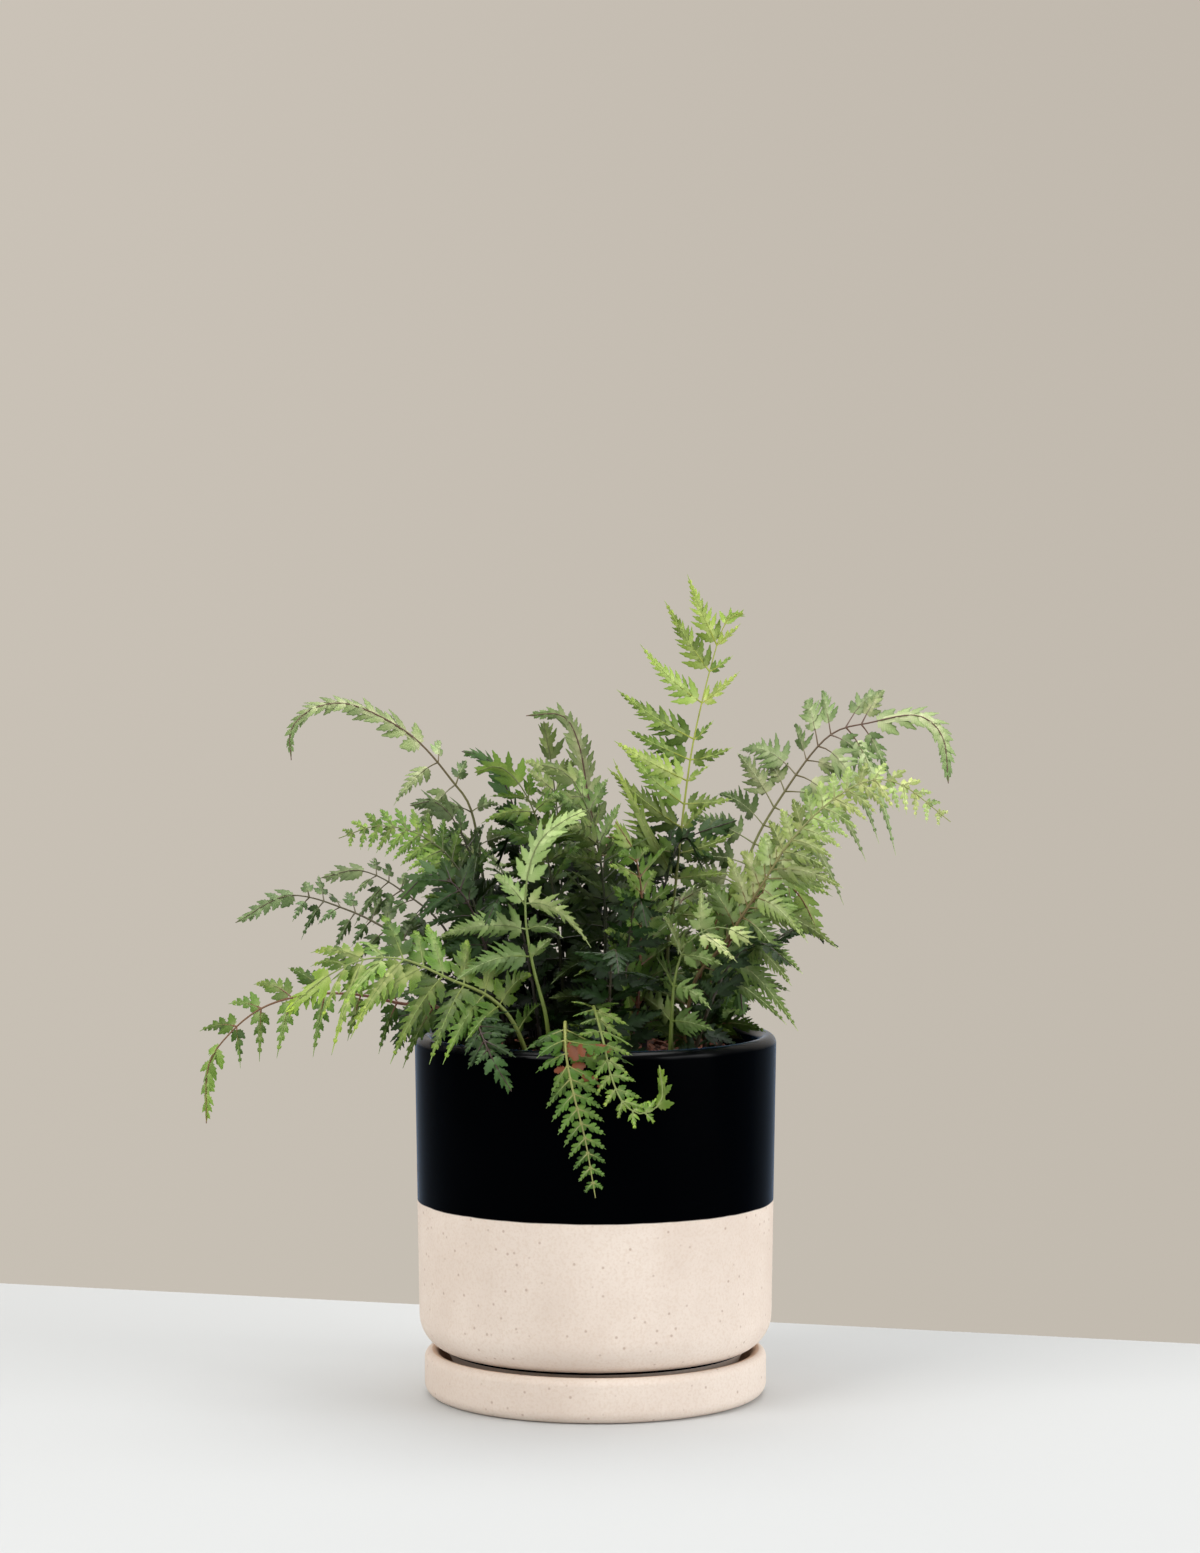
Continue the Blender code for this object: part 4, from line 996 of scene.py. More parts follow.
def chip_corners(source):
    """Eight corners of one bark chip, tilted at random and lying on the soil."""
    sizes = np.array([source.uniform(*limits) for limits in CHIP_SIZES]) / 2
    corners = np.array([(x, y, z) for x in (-1, 1) for y in (-1, 1) for z in (-1, 1)], float) * sizes
    corners *= source.uniform(*CHIP_UNEVEN, corners.shape)
    turn = chip_turn(source.uniform(0, 2 * math.pi), source.normal(0, CHIP_TILT), source.normal(0, CHIP_TILT))
    radius = (POT_RADIUS - POT_WALL - CHIP_INSET) * math.sqrt(source.uniform(0, 1))
    angle = source.uniform(0, 2 * math.pi)
    place = (radius * math.cos(angle), radius * math.sin(angle), SOIL_TOP + source.uniform(*CHIP_RISE))
    return corners @ turn.T + place


def soil_lump(x, y):
    """How far the bed rises or sinks at a place on the soil."""
    coarse = math.sin(x * COARSE_WAVES[0]) * math.sin(y * COARSE_WAVES[1] + COARSE_SHIFT)
    fine = math.sin(x * FINE_WAVES[0] + y * FINE_WAVES[1])
    return SOIL_LUMPS * (coarse + FINE_SHARE * fine)


def soil_bed():
    """The vertices, in millimetres, and faces of the lumpy bed that fills the pot."""
    inside = [(radius - SOIL_GAP, height + SOIL_GAP) for radius, height in pot_inside()]
    wall = inside[-1][0]
    profile = [(AXIS_RADIUS, SOIL_TOP)]
    profile += [(radius, SOIL_TOP) for radius in np.linspace(SOIL_RING_START, wall - SOIL_EDGE, SOIL_RINGS)]
    profile.append((wall, SOIL_TOP - SOIL_EDGE_DROP))
    profile += reversed(inside)
    profile.append((AXIS_RADIUS, inside[0][1]))
    bed = turned("bed", [], profile)
    vertices = [Vector(vertex.co) / MM for vertex in bed.vertices]
    faces = [tuple(face.vertices) for face in bed.polygons]
    bpy.data.meshes.remove(bed)
    for point in vertices:
        if point.z > SOIL_TOP - SOIL_EDGE_DROP / 2:
            point.z += soil_lump(point.x, point.y)
    return vertices, faces


def make_soil():
    """The bed of bark mix with loose chips on it."""
    source = np.random.default_rng(SEED)
    vertices, faces = soil_bed()
    tones = [BED_TONE] * len(vertices)
    for _ in range(CHIPS):
        first = len(vertices)
        vertices += [Vector(corner) for corner in chip_corners(source)]
        faces += [tuple(first + corner for corner in face) for face in CHIP_FACES]
        tones += [source.uniform(*CHIP_TONES)] * 8
    mesh = bpy.data.meshes.new("soil_bark")
    mesh.from_pydata([vertex * MM for vertex in vertices], [], faces)
    set_numbers(mesh, "chip", tones)
    finish_piece("soil_bark", mesh, [soil_material()], "soil")


def smooth_points(points, samples):
    """Points along a smooth curve that passes through the given ones."""
    ends = [2 * points[0] - points[1]] + points + [2 * points[-1] - points[-2]]
    spans = len(points) - 1
    result = []
    for sample in range(samples + 1):
        span = min(sample * spans // samples, spans - 1)
        t = sample / samples * spans - span
        a, b, c, d = ends[span:span + 4]
        result.append(0.5 * (2 * b + (c - a) * t + (2 * a - 5 * b + 4 * c - d) * t ** 2
                             + (3 * b - a - 3 * c + d) * t ** 3))
    return result


def square_to(vector, along):
    """The unit vector nearest to the given one that is square to a direction."""
    return (vector - vector.dot(along) * along).normalized()


class Rachis:
    """The curve of a frond's stalk and rachis, with a frame at any distance along it."""

    def __init__(self, root, path, face):
        start = Vector((root[0], root[1], SOIL_TOP + STALK_START))
        self.points = smooth_points([start] + [Vector(point) for point in path], PATH_SAMPLES)
        self.distances = [0.0]
        for before, after in itertools.pairwise(self.points):
            self.distances.append(self.distances[-1] + (after - before).length)
        self.length = self.distances[-1]
        self.ups = self.carried_normals(Vector(face))

    def tangent(self, index):
        low = max(index - 1, 0)
        high = min(index + 1, len(self.points) - 1)
        return (self.points[high] - self.points[low]).normalized()

    def carried_normals(self, face):
        """The face vector made square to the rachis two thirds along, and carried to both ends."""
        middle = 2 * len(self.points) // 3
        ups = [None] * len(self.points)
        ups[middle] = square_to(face, self.tangent(middle))
        for index in range(middle + 1, len(self.points)):
            ups[index] = square_to(ups[index - 1], self.tangent(index))
        for index in range(middle - 1, -1, -1):
            ups[index] = square_to(ups[index + 1], self.tangent(index))
        return ups

    def at(self, distance):
        """Point, direction, sideways and up at a distance along the curve."""
        index = 0
        while index < len(self.distances) - 2 and self.distances[index + 1] < distance:
            index += 1
        span = self.distances[index + 1] - self.distances[index]
        share = min(max((distance - self.distances[index]) / span, 0.0), 1.0)
        point = self.points[index].lerp(self.points[index + 1], share)
        along = self.tangent(index).lerp(self.tangent(index + 1), share).normalized()
        up = square_to(self.ups[index].lerp(self.ups[index + 1], share), along)
        return point, along, along.cross(up), up

    def half_width(self, distance):
        share = min(distance / self.length, 1.0)
        return STALK_HALF + (RACHIS_TIP_HALF - STALK_HALF) * share ** RACHIS_TAPER


class Pinna:
    """The rib of a pinna: a quadratic curve that bends down, or up where droop is negative."""

    def __init__(self, start, along, normal, length, droop):
        self.start = start
        self.bend = start + along * length * PINNA_BEND
        self.end = start + along * length * PINNA_STRAIGHT + Vector((0, 0, -droop * length))
        self.normal = normal
        self.length = length
        self.cup = PINNA_CUP

    def at(self, t):
        point = self.start * (1 - t) ** 2 + self.bend * 2 * t * (1 - t) + self.end * t * t
        along = ((self.bend - self.start) * (1 - t) + (self.end - self.bend) * t).normalized()
        normal = square_to(self.normal, along)
        return point, along, along.cross(normal), normal

    def half_width(self, t):
        """Half the width of the blade at a share of its length: widest near its base, then a long taper."""
        rise = min((t + WIDTH_AT_BASE) / (WIDEST + WIDTH_AT_BASE), 1.0) ** WIDTH_RISE
        fall = (1 - max(t - WIDEST, 0.0) / (1 - WIDEST)) ** WIDTH_FALL
        return (PINNA_WIDTH * self.length + PINNA_WIDTH_EXTRA) * rise * fall


class Comb:
    """The end of a rachis, which bears single leaflets."""

    def __init__(self, rachis, start, half, cup):
        self.rachis = rachis
        self.start = start
        self.length = rachis.length - start
        self.half = half
        self.cup = cup

    def at(self, t):
        return self.rachis.at(self.start + t * self.length)

    def half_width(self, t):
        return self.half * (1 - t) ** COMB_TAPER


def blade_points(rib, leaflets):
    """The middle surface of a blade cut to its rib: leaflet tips and notches of both edges, and the apex.

    Each entry is (point, normal). An edge runs tip, notch, tip, notch, outwards.
    """
    edges = []
    for sign in (1, -1):
        edge = []
        for leaflet in range(leaflets):
            tip_t = (leaflet + LEAFLET_TIP) / (leaflets + BLADE_END)
            point, _, across, normal = rib.at(tip_t)
            reach = rib.half_width(tip_t)
            edge.append((point + sign * across * reach - normal * reach * rib.cup, normal))
            notch_t = (leaflet + LEAFLET_NOTCH) / (leaflets + BLADE_END)
            point, _, across, normal = rib.at(notch_t)
            edge.append((point + sign * across * RIB_HALF, normal))
        edges.append(edge)
    point, _, _, normal = rib.at(1.0)
    return edges[0], edges[1], (point, normal)


def pinna_leaflets(length):
    return next(count for limit, count in LEAFLETS_BY_LENGTH if length < limit)


def comb_leaflets(length):
    return max(2, round(length / COMB_STEP))


class Solid:
    """Vertices and faces of one closed body, in millimetres."""

    def __init__(self):
        self.vertices = []
        self.faces = []

    def add(self, point):
        self.vertices.append(Vector(point))
        return len(self.vertices) - 1

    def add_blade(self, base, outline, thick):
        """A thin plate grown from four base corners: (top a, top b, bottom a, bottom b)."""
        edge_a, edge_b, apex = outline
        layers = []
        for side, (corner_a, corner_b) in ((0.5, base[:2]), (-0.5, base[2:])):
            line_a = [corner_a] + [self.add(point + normal * thick * side) for point, normal in edge_a]
            line_b = [corner_b] + [self.add(point + normal * thick * side) for point, normal in edge_b]
            end = self.add(apex[0] + apex[1] * thick * side)
            layers.append((line_a, line_b, end))
        for line_a, line_b, end in layers:
            for low in range(0, len(line_a) - 1, 2):
                self.faces.append((line_a[low], line_a[low + 1], line_a[low + 2]))
                self.faces.append((line_b[low], line_b[low + 1], line_b[low + 2]))
                self.faces.append((line_a[low], line_a[low + 2], line_b[low + 2]))
                self.faces.append((line_a[low], line_b[low + 2], line_b[low]))
            self.faces.append((line_a[-1], end, line_b[-1]))
        (top_a, top_b, top_end), (bottom_a, bottom_b, bottom_end) = layers
        for top, bottom in ((top_a + [top_end], bottom_a + [bottom_end]),
                            (top_b + [top_end], bottom_b + [bottom_end])):
            for i in range(len(top) - 1):
                self.faces.append((top[i], top[i + 1], bottom[i + 1]))
                self.faces.append((top[i], bottom[i + 1], bottom[i]))

    def tree(self):
        return BVHTree.FromPolygons(self.vertices, self.faces)


def test_blade(rib, outline, start, base_thick):
    """The blade alone, thicker by the clearance on both sides, to try against what is already placed."""
    solid = Solid()
    point, _, across, normal = rib.at(start)
    corners = []
    for side in (0.5, -0.5):
        for sign in (1, -1):
            corners.append(solid.add(point + across * RIB_HALF * sign + normal * base_thick * side))
    solid.add_blade(corners, outline, BLADE_THICK + 2 * CLEARANCE)
    return solid


def test_blades(rib, leaflets):
    """One test blade for its own frond, clear of the rachis, and one for the other fronds."""
    outline = blade_points(rib, leaflets)
    within = test_blade(rib, outline, TEST_BLADE_START, BLADE_THICK + 2 * CLEARANCE)
    outside = test_blade(rib, outline, 0.0, 2 * STALK_HALF + 2 * CLEARANCE)
    return within, outside


def touches(tree, others):
    return any(tree.overlap(other) for other in others)


def clear_of_pot(points):
    """Whether every point lies above the soil inside the rim, or outside the wall."""
    for x, y, z in points:
        radius = math.hypot(x, y)
        if radius < POT_RADIUS - POT_WALL - WALL_CLEARANCE:
            if z < SOIL_TOP + STALK_START:
                return False
        elif radius < POT_RADIUS + POT_CLEARANCE and z < POT_TOP + POT_CLEARANCE:
            return False
    return True


class Frond:
    """A rachis with the comb at its end, and pinnae bent clear of what was placed before."""

    def __init__(self, name, root, path, right, left, pairs, bare, comb, comb_half, habit, face):
        self.name = name
        self.root = root
        self.longest = {1: right, -1: left}
        self.habit = habit
        self.rachis = Rachis(root, path, face)
        self.first = bare * self.rachis.length
        self.comb_start = (1 - comb) * self.rachis.length
        self.comb = Comb(self.rachis, self.comb_start, comb_half, habit.comb_cup)
        self.sites = []
        for pair in range(pairs):
            share = pair / pairs
            share *= 1 + habit.crowding * (1 - share)
            self.sites.append(self.first + (self.comb_start - self.first) * share)
        source = random.Random(name)
        self.whims = {(site, sign): self.draw_whim(source) for site in range(pairs) for sign in (1, -1)}
        self.whims.update(SET_PINNAE.get(name, {}))
        self.pinnae = {}
        stalk = self.stalk_sides().tree()
        comb_within, comb_outside = test_blades(self.comb, comb_leaflets(self.comb.length))
        self.within = [stalk, comb_within.tree()]
        self.outside = [stalk, comb_outside.tree()]

    def draw_whim(self, source):
        """How a pinna differs a little from the rule: length, angle, droop and roll."""
        length = source.uniform(*LENGTH_WHIM)
        angle = source.uniform(-ANGLE_WHIM_DEG, ANGLE_WHIM_DEG) * self.habit.stray
        droop = source.uniform(-DROOP_WHIM, DROOP_WHIM) * self.habit.stray
        roll = source.uniform(-ROLL_WHIM_DEG, ROLL_WHIM_DEG) * self.habit.stray
        return length, angle, droop, roll

    def share_of_blade(self, distance):
        return (distance - self.first) / (self.comb_start - self.first)

    def pinna_length(self, distance, sign):
        share = max(self.share_of_blade(distance), 0.0)
        return self.longest[sign] * (1 - self.habit.fall * share ** self.habit.fall_curve)

    def stations(self):
        """Distances at which the stalk has corners, below the comb."""
        found = []
        steps = max(1, round(self.first / STALK_STEP))
        for step in range(steps):
            found.append(self.first * step / steps)
        for site in self.sites:
            found += [site - PINNA_BASE_HALF, site + PINNA_BASE_HALF]
        found.append(self.comb_start)
        return found

    def ring(self, solid, distance):
        """Three corners round the rachis: right and left on its upper side, and its keel."""
        point, _, across, up = self.rachis.at(distance)
        half = self.rachis.half_width(distance)
        return [solid.add(point + across * half + up * half), solid.add(point - across * half + up * half),
                solid.add(point - up * half)]

    def join(self, solid, before, after, skip=()):
        """The three sides between two rings, apart from a side that a pinna grows from."""
        sides = {1: (0, 2), -1: (2, 1), 0: (1, 0)}
        for side, (first, second) in sides.items():
            if side not in skip:
                solid.faces.append((before[first], before[second], after[second], after[first]))

    def stalk_sides(self):
        """The sides of the stalk and rachis without pinnae, for the tests."""
        solid = Solid()
        rings = [self.ring(solid, distance) for distance in self.stations()]
        for before, after in itertools.pairwise(rings):
            self.join(solid, before, after)
        return solid

    def pinna(self, distance, sign, whim, reach, lift_deg, sweep_deg):
        """The rib of a pinna, lifted and swept from its own place by the given angles."""
        length_whim, angle_whim, droop_whim, roll_whim = whim
        point, along, across, up = self.rachis.at(distance)
        forward = self.habit.forward_deg * self.share_of_blade(distance)
        angle = math.radians(self.habit.angle_deg - forward + angle_whim + sweep_deg)
        lift = math.radians(lift_deg)
        roll = math.radians(roll_whim)
        outward = across * sign * math.cos(lift) + up * math.sin(lift)
        direction = along * math.cos(angle) + outward * math.sin(angle)
        normal = square_to(up * math.cos(lift) - across * sign * math.sin(lift), direction)
        normal = normal * math.cos(roll) + direction.cross(normal) * math.sin(roll)
        start = point + across * sign * self.rachis.half_width(distance)
        length = self.pinna_length(distance, sign) * length_whim * reach
        return Pinna(start, direction, normal, length, self.habit.droop + droop_whim)

    def settle_pinna(self, site, sign, others):
        """The first bend of a pinna, near its own place first, that touches nothing placed before."""
        whim = self.whims[site, sign]
        for reach, lift, sweep in itertools.product(REACHES, LIFTS_DEG, SWEEPS_DEG):
            rib = self.pinna(self.sites[site], sign, whim, reach, lift, sweep)
            within, outside = test_blades(rib, pinna_leaflets(rib.length))
            if not clear_of_pot(outside.vertices):
                continue
            inner, outer = within.tree(), outside.tree()
            if touches(inner, self.within) or touches(outer, others):
                continue
            self.within.append(inner)
            self.outside.append(outer)
            return rib
        return None

    def grow(self, others):
        """Settles each pinna, from the comb down."""
        for site in reversed(range(len(self.sites))):
            for sign in (1, -1):
                rib = self.settle_pinna(site, sign, others)
                if rib:
                    self.pinnae[site, sign] = rib


def low_frond_row(number, turn_deg):
    """A short frond that leans outwards from its place on the spiral."""
    radius = LOW_RADII[number % len(LOW_RADII)]
    rise = LOW_RISES[number % len(LOW_RISES)]
    angle = math.radians(LOW_TURN_DEG * number + turn_deg)
    outward = (math.cos(angle), math.sin(angle))
    root = (radius * outward[0], radius * outward[1])
    path = []
    for share, height in LOW_PATH:
        reach = radius * share + LOW_SPREAD * (share - 1)
        path.append((reach * outward[0], reach * outward[1], SOIL_TOP + height * rise))
    face = (outward[0], outward[1], 1.0)
    return (f"low_{number + 1}", root, path, LOW_PINNA, LOW_PINNA, LOW_PAIRS, LOW_BARE, LOW_COMB,
            LOW_COMB_HALF, BUSHY, face)


def free_place(frond, fronds):
    """Whether a frond's root keeps its distance, and its stalk and comb touch neither others nor pot."""
    if any(math.dist(frond.root, other.root) < ROOT_DISTANCE for other in fronds):
        return False
    if not clear_of_pot(frond.rachis.points[STALK_SAMPLES:]):
        return False
    fixed = [tree for other in fronds for tree in other.outside]
    return not any(touches(mine, fixed) for mine in frond.outside)


def plant_low_fronds(fronds):
    for number in range(LOW_FRONDS):
        for attempt in range(LOW_TRIES):
            turn = LOW_TRY_DEG * ((attempt + 1) // 2) * (-1) ** attempt
            frond = Frond(*low_frond_row(number, turn))
            if free_place(frond, fronds):
                fronds.append(frond)
                break


def grow_fronds():
    fronds = [Frond(*row) for row in FRONDS]
    plant_low_fronds(fronds)
    for frond in fronds:
        frond.grow([tree for other in fronds if other is not frond for tree in other.outside])
    return fronds


def pinnule_faces():
    """Triangles of one pinnule, a closed body whose upper and lower sides meet at the margins.

    Its vertices are the ridge on top, the ridge below, which ends in the same point, and each margin
    outwards: notch, tip, notch, tip.
    """
    faces = []
    top = list(range(TEETH + 1))
    below = list(range(TEETH + 1, 2 * TEETH + 1)) + [TEETH]
    for layer, ridge in enumerate((top, below)):
        for side in (0, 1):
            margin = 2 * TEETH * (1 + side) + 1
            for i in range(TEETH):
                notch = margin + 2 * i
                corners = [(ridge[i], notch + 1, notch), (ridge[i], ridge[i + 1], notch + 1)]
                if i < TEETH - 1:
                    corners.append((ridge[i + 1], notch + 2, notch + 1))
                faces += [face if layer == side else face[::-1] for face in corners]
    faces.append((top[0], 2 * TEETH + 1, below[0]))
    faces.append((below[0], 4 * TEETH + 1, top[0]))
    return np.array(faces)


def pinnule_marks():
    """What each vertex of a pinnule is, in the order that its faces use.

    Its share of the length, its side (-1, 0, 1), whether it is a notch, and its layer (1 on top, -1 below,
    0 at the margin).
    """
    marks = [(i / TEETH, 0, 0, 1) for i in range(TEETH + 1)]
    marks += [(i / TEETH, 0, 0, -1) for i in range(TEETH)]
    for sign in (1, -1):
        for i in range(TEETH):
            marks += [(i / TEETH, sign, 1, 0), ((i + TOOTH_TIP) / TEETH, sign, 0, 0)]
    return np.array(marks, float).T


PINNULE_FACES = pinnule_faces()
PINNULE_SHARE, PINNULE_SIDE, PINNULE_NOTCH, PINNULE_LAYER = pinnule_marks()


class Foliage:
    """The fine mesh of a frond: blocks of vertices with their marks, and faces with their material."""

    def __init__(self):
        self.points = []
        self.leaf = []
        self.growth = []
        self.faces = []
        self.kinds = []
        self.count = 0

    def add(self, points, leaf, growth, faces, kind):
        self.points.append(points)
        self.leaf.append(leaf)
        self.growth.append(growth)
        self.faces += [tuple(int(corner) + self.count for corner in face) for face in faces]
        self.kinds += [kind] * len(faces)
        self.count += len(points)

    def to_mesh(self, name):
        mesh = bpy.data.meshes.new(name)
        mesh.from_pydata(np.concatenate(self.points) * MM, [], self.faces)
        mesh.polygons.foreach_set("material_index", self.kinds)
        set_numbers(mesh, "leaf", np.concatenate(self.leaf))
        set_numbers(mesh, "growth", np.concatenate(self.growth))
        return mesh


def rib_frame(rib, t):
    """Point, direction, sideways and up on a rib, as arrays."""
    return [np.array(vector) for vector in rib.at(t)]


def unit(vector):
    return vector / np.linalg.norm(vector)


def pinnule_outline(pointed, base):
    """The half width of a pinnule, as a share of the greatest, at its vertices."""
    rise = base + (1 - base) * np.sin(np.minimum(PINNULE_SHARE / OUTLINE_RISE, 1) * math.pi / 2)
    beyond = np.clip((PINNULE_SHARE - OUTLINE_FALL) / (1 - OUTLINE_FALL), 0, 1)
    inner, outer = [power + gain * pointed for power, gain in OUTLINE_POWERS]
    return rise * (1 - beyond ** inner) ** outer


def add_pinnule(foliage, start, ways, length, width, shape, marks):
    """One toothed pinnule, from its start, with its own way out, normal and the way to the pinna's tip."""
    out, normal, forward = ways
    pointed, base, curl = shape
    t, share, tone, hue = marks
    across = np.cross(normal, out)
    half = pinnule_outline(pointed, base) * width * (1 - TOOTH_DEPTH * PINNULE_NOTCH)
    lean = PINNULE_SHARE ** 2
    ridge = RIDGE * PINNULE_LAYER * (1 - PINNULE_SHARE * RIDGE_FALL)
    sink = -PINNULE_SINK * np.abs(PINNULE_SIDE) * half - curl * lean * length
    points = (start + np.outer(PINNULE_SHARE * length, out) + np.outer(PINNULE_SIDE * half, across)
              + np.outer(ridge + sink, normal) + np.outer(lean * length * PINNULE_LEAN, forward))
    leaf = np.column_stack((PINNULE_SHARE, np.abs(PINNULE_SIDE), np.full(len(points), t)))
    growth = np.tile((share, tone, hue), (len(points), 1))
    foliage.add(points, leaf, growth, PINNULE_FACES, BLADE_KIND)


def add_tube(foliage, rings, leaf, growth, kind):
    """A closed tube through rings of points, of the blade's material or the stalk's."""
    sides = len(rings[0])
    faces = []
    for row in range(len(rings) - 1):
        for i in range(sides):
            j = (i + 1) % sides
            faces.append((row * sides + i, row * sides + j, (row + 1) * sides + j, (row + 1) * sides + i))
    faces.append(tuple(reversed(range(sides))))
    faces.append(tuple((len(rings) - 1) * sides + i for i in range(sides)))
    foliage.add(np.concatenate(rings), leaf, growth, faces, kind)


def diamond(point, across, normal, half, thick, sink):
    """Four corners round a point of a rib: both edges, sunk a little, and the ridges on top and below."""
    return np.array([point + across * half - normal * sink, point + normal * thick,
                     point - across * half - normal * sink, point - normal * thick])


def add_costa(foliage, rib, share):
    """The slender rib of a pinna, which starts inside the rachis."""
    rings, leaf = [], []
    for station in range(WING_STATIONS + 1):
        t = station / WING_STATIONS
        point, along, across, normal = rib_frame(rib, t)
        if station == 0:
            point = point - along * COSTA_SUNK
        half = COSTA_HALF + (COSTA_TIP_HALF - COSTA_HALF) * t ** COSTA_TAPER
        rings.append(diamond(point, across, normal, half, half, 0.0))
        leaf += [(0.0, 0.0, t)] * len(rings[-1])
    growth = np.tile((share, 0.0, 1.0), (len(leaf), 1))
    add_tube(foliage, rings, np.array(leaf), growth, STEM_KIND)


def add_wings(foliage, rib, start, marks):
    """The blade on both sides of a rib, which joins the feet of the pinnules, the more so towards the tip."""
    rings, leaf = [], []
    for station in range(WING_STATIONS + 1):
        t = start + (1 - start) * station / WING_STATIONS
        point, _, across, normal = rib_frame(rib, t)
        joined = JOINED_BASE + (JOINED_TIP - JOINED_BASE) * t
        half = max(joined * rib.half_width(t), WING_EDGE)
        point = point - normal * WING_SUNK * (1 - t)
        thick = WING_THICK * (1 - WING_THINS * t)
        rings.append(diamond(point, across, normal, half, thick, half * rib.cup))
        leaf += [(joined, WING_ACROSS, t), (0.0, 0.0, t)] * 2
    add_tube(foliage, rings, np.array(leaf), np.tile(marks, (len(leaf), 1)), BLADE_KIND)


def pinnule_ways(source, at_rib, cup, t, sign):
    """A pinnule's angle to its rib, then its way out, its normal and the rib's way, a little off the rule."""
    _, along, across, normal = at_rib
    angle = math.radians(PINNULE_ANGLE_DEG - PINNULE_FORWARD_DEG * t) + source.normal(0, ANGLE_STRAY)
    out = along * math.cos(angle) + across * sign * math.sin(angle) - normal * cup * math.sin(angle)
    out = unit(out + normal * source.normal(0, RISE_STRAY))
    face = normal + across * sign * cup + along * source.normal(0, ROLL_STRAY)
    face = unit(face - out * np.dot(face, out))
    return angle, (out, face, along)


def pinnule_reach(source, rib, t, angle, fill):
    """The length that takes a pinnule to the pinna's outline, which it meets further out than it starts."""
    ahead = min(t + PINNULE_AHEAD * rib.half_width(t) / rib.length, PINNULES_END)
    reach = rib.half_width(ahead) / math.sin(angle)
    return max(reach * fill * source.uniform(*REACH_WHIM), PINNULE_SHORTEST)


def add_pinnules(foliage, rib, share, look, source, first, step, fill=1.0):
    """A rib with pinnules on both sides, smaller and more joined towards its tip."""
    add_costa(foliage, rib, share)
    pairs = max(round(rib.length * (1 - first) / step), PINNULES_MIN)
    tone = source.uniform(-1, 1)
    hue = source.uniform(-1, 1)
    add_wings(foliage, rib, first, (share, tone, hue))
    slender = PINNULE_WIDTH - PINNULE_SLIMMED * look.slim
    places = first + (PINNULES_END - first) * (np.arange(pairs + 1) / pairs) ** CROWDING
    for t, after in itertools.pairwise(places):
        gap = (after - t) * rib.length
        at_rib = rib_frame(rib, t)
        start = at_rib[0] + at_rib[1] * gap * PINNULE_OFFSET
        pointed = min(look.pointed + POINTED_AT_TIP * t, 1.0)
        base = FOOT_WIDTH + FOOT_WIDENS * min(max(t - FOOT_WIDENS_FROM, 0) / FOOT_WIDENS_OVER, 1.0)
        for sign in (1, -1):
            angle, ways = pinnule_ways(source, at_rib, rib.cup, t, sign)
            reach = pinnule_reach(source, rib, t, angle, fill)
            width = gap * math.sin(angle) * slender * source.uniform(*WIDTH_WHIM)
            shape = (pointed, base, source.uniform(*CURL_WHIM))
            marks = (t, share, tone + source.uniform(-TONE_STRAY, TONE_STRAY), hue)
            add_pinnule(foliage, start, ways, reach, width, shape, marks)


def add_rachis(foliage, rachis):
    """The round stalk and rachis, from inside the soil to the frond's tip."""
    steps = int(rachis.length / RACHIS_STEP)
    rings, growth = [], []
    for step in range(-1, steps + 1):
        share = max(step, 0) / steps
        point, _, across, up = rib_frame(rachis, share * rachis.length)
        half = rachis.half_width(share * rachis.length) * (1 - SLIMMER * share)
        if step < 0:
            point[2] = SOIL_TOP - RACHIS_ROOTED
        ring = []
        for side in range(RACHIS_SIDES):
            angle = 2 * math.pi * side / RACHIS_SIDES
            ring.append(point + (across * math.cos(angle) + up * math.sin(angle)) * half)
        rings.append(np.array(ring))
        growth += [(share, 0.0, 0.0)] * RACHIS_SIDES
    add_tube(foliage, rings, np.zeros((len(growth), 3)), np.array(growth), STEM_KIND)


def comb_fingers(comb):
    """The leaflets of a wide comb as small pinnae, shorter towards its end."""
    pairs = round(comb.length / FINGER_STEP)
    angle = math.radians(FINGER_ANGLE_DEG)
    fingers = []
    for pair in range(pairs):
        point, along, across, normal = comb.at(pair / pairs)
        reach = FINGER_LENGTH * comb.half_width((pair + 0.5) / pairs) / math.sin(angle) + FINGER_EXTRA
        for sign in (1, -1):
            direction = along * math.cos(angle) + across * sign * math.sin(angle)
            fingers.append(Pinna(point, direction, normal, reach, comb.cup))
    return fingers


def extra_pinnae(frond):
    """Pinnae half way between the frond's own and lower down the stalk, where the pot leaves them room.

    Each is lifted or lowered at random.
    """
    source = random.Random(frond.name + "_extra")
    places = [frond.first * share for share in EXTRA_LOW] + frond.sites + [frond.comb_start]
    end = frond.rachis.length * EXTRA_END.get(frond.name, 1.0)
    found = []
    for before, after in itertools.pairwise(places):
        for sign in (1, -1):
            whim = frond.draw_whim(source)
            lift = source.uniform(-EXTRA_LIFT_DEG, EXTRA_LIFT_DEG)
            reach = source.uniform(*EXTRA_REACH)
            distance = (before + after) / 2
            rib = frond.pinna(distance, sign, whim, reach, lift, 0.0)
            _, outside = test_blades(rib, pinna_leaflets(rib.length))
            if distance < end and clear_of_pot(outside.vertices):
                found.append((distance, rib))
    return found


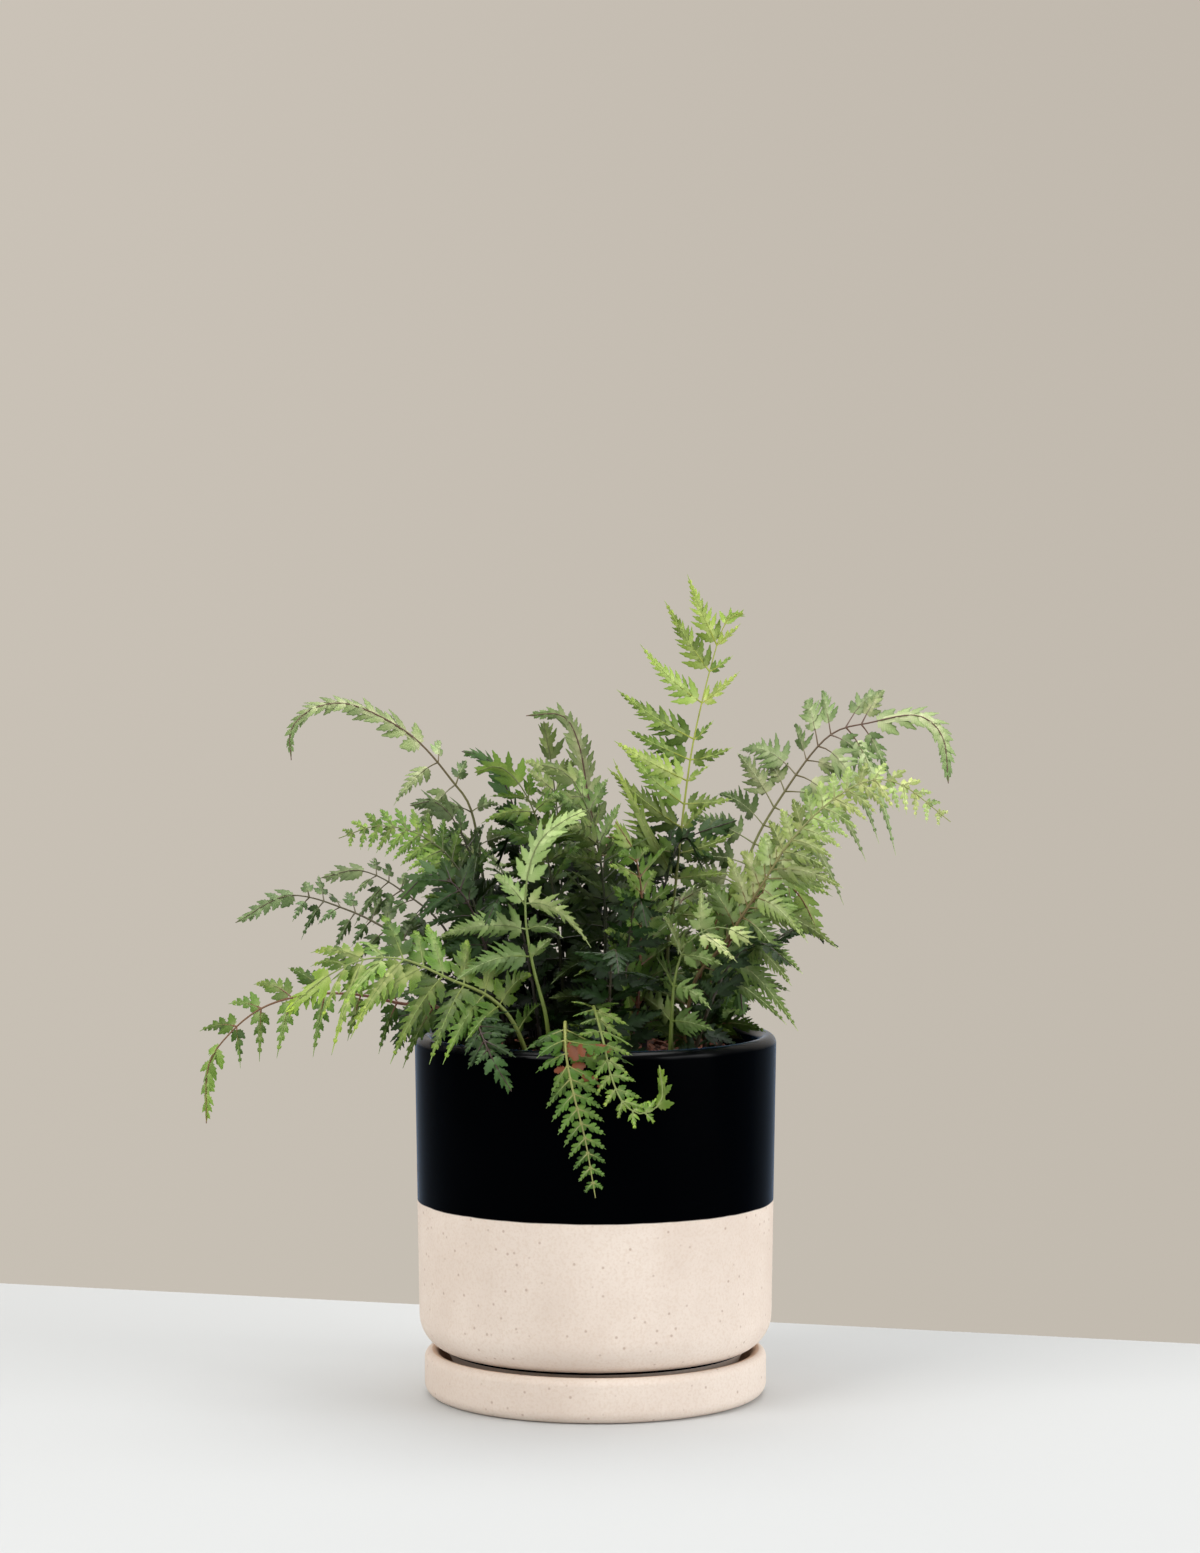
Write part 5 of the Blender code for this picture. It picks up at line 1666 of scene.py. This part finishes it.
def frond_foliage(frond, look, source):
    """All of a frond: its rachis, its pinnae with those between them, and its comb."""
    foliage = Foliage()
    add_rachis(foliage, frond.rachis)
    pinnae = [(frond.sites[site], rib) for (site, _), rib in frond.pinnae.items()]
    if frond.name not in OPEN_FRONDS:
        pinnae += extra_pinnae(frond)
    step = PINNULE_STEP * COARSE.get(frond.name, 1.0)
    bare = LONG_PETIOLULE if frond.habit == ARCHING else PETIOLULE
    for distance, rib in pinnae:
        add_pinnules(foliage, rib, distance / frond.rachis.length, look, source, bare, step)
    if frond.comb.half >= WIDE_COMB or frond.name in LOBED_COMBS:
        for finger in comb_fingers(frond.comb):
            add_pinnules(foliage, finger, 1.0, look, source, 0.0, FINGER_PINNULE_STEP)
    else:
        fill = NARROW_COMBS.get(frond.name, 1.0)
        add_pinnules(foliage, frond.comb, 1.0, look, source, 0.0, COMB_PINNULE_STEP, fill)
    return foliage


def make_fronds():
    materials = {}
    for name, look in LOOKS.items():
        blade = blade_material(name + "_blade", look, name == DRY_LOOK)
        materials[name] = [blade, stem_material(name + "_stem", look)]
    for number, frond in enumerate(grow_fronds()):
        source = np.random.default_rng(SEED + number)
        look_name = LOOK_OF.get(frond.name, LOW_LOOK)
        name = "fern_" + frond.name
        mesh = frond_foliage(frond, LOOKS[look_name], source).to_mesh(name)
        finish_piece(name, mesh, materials[look_name], "frond_" + frond.name)


def add_flat(name, corners, material):
    mesh = bpy.data.meshes.new(name)
    mesh.from_pydata([corner * MM for corner in corners], [], [(0, 1, 2, 3)])
    mesh.materials.append(material)
    return add_object(name, mesh)


def make_table():
    """The pale table top, whose far edge passes close behind the saucer."""
    left = Vector((*TABLE_EDGE_LEFT, 0.0))
    right = Vector((*TABLE_EDGE_RIGHT, 0.0))
    along = (right - left).normalized()
    near = Vector((along.y, -along.x, 0.0)) * TABLE_DEPTH
    middle = (left + right) / 2
    far_left = middle - along * TABLE_REACH
    far_right = middle + along * TABLE_REACH
    corners = [far_left, far_left + near, far_right + near, far_right]
    table = add_flat("table_top", corners, table_material())


def make_wall():
    half, low, high = WALL_HALF_WIDTH, WALL_LOW, WALL_HIGH
    corners = [(-half, low), (half, low), (half, high), (-half, high)]
    wall = add_flat("wall", [Vector((x, WALL_AWAY, z)) for x, z in corners], wall_material())


def make_world():
    """The dim rest of the room."""
    world = bpy.data.worlds.new("room")
    world.use_nodes = True
    background = world.node_tree.nodes["Background"]
    background.inputs["Color"].default_value = linear(ROOM)
    background.inputs["Strength"].default_value = ROOM_LIGHT
    bpy.context.scene.world = world


def make_lights():
    """Soft boxes that face the plant."""
    for name, (place, size, power, colour) in LIGHTS.items():
        light = bpy.data.lights.new(name, "AREA")
        light.shape = "RECTANGLE"
        light.size = size[0] * MM
        light.size_y = size[1] * MM
        light.energy = power
        light.color = colour
        lamp = add_object(name, light)
        lamp.location = Vector(place) * MM
        lamp.rotation_euler = (Vector(LIT_PLACE) - Vector(place)).to_track_quat("-Z", "Y").to_euler()


def make_camera():
    camera = add_object("camera", bpy.data.cameras.new("camera"))
    camera.data.lens = CAMERA_LENS
    camera.data.sensor_width = CAMERA_SENSOR
    camera.data.shift_x = CAMERA_SHIFT
    camera.data.clip_start, camera.data.clip_end = CAMERA_CLIP
    camera.location = Vector(CAMERA_PLACE) * MM
    camera.rotation_euler = (math.radians(90 - CAMERA_DOWN_DEG), 0, 0)
    bpy.context.scene.camera = camera


make_saucer()
make_pot()
make_soil()
make_fronds()
make_table()
make_wall()
make_world()
make_lights()
make_camera()
bpy.context.scene.view_settings.view_transform = "Standard"
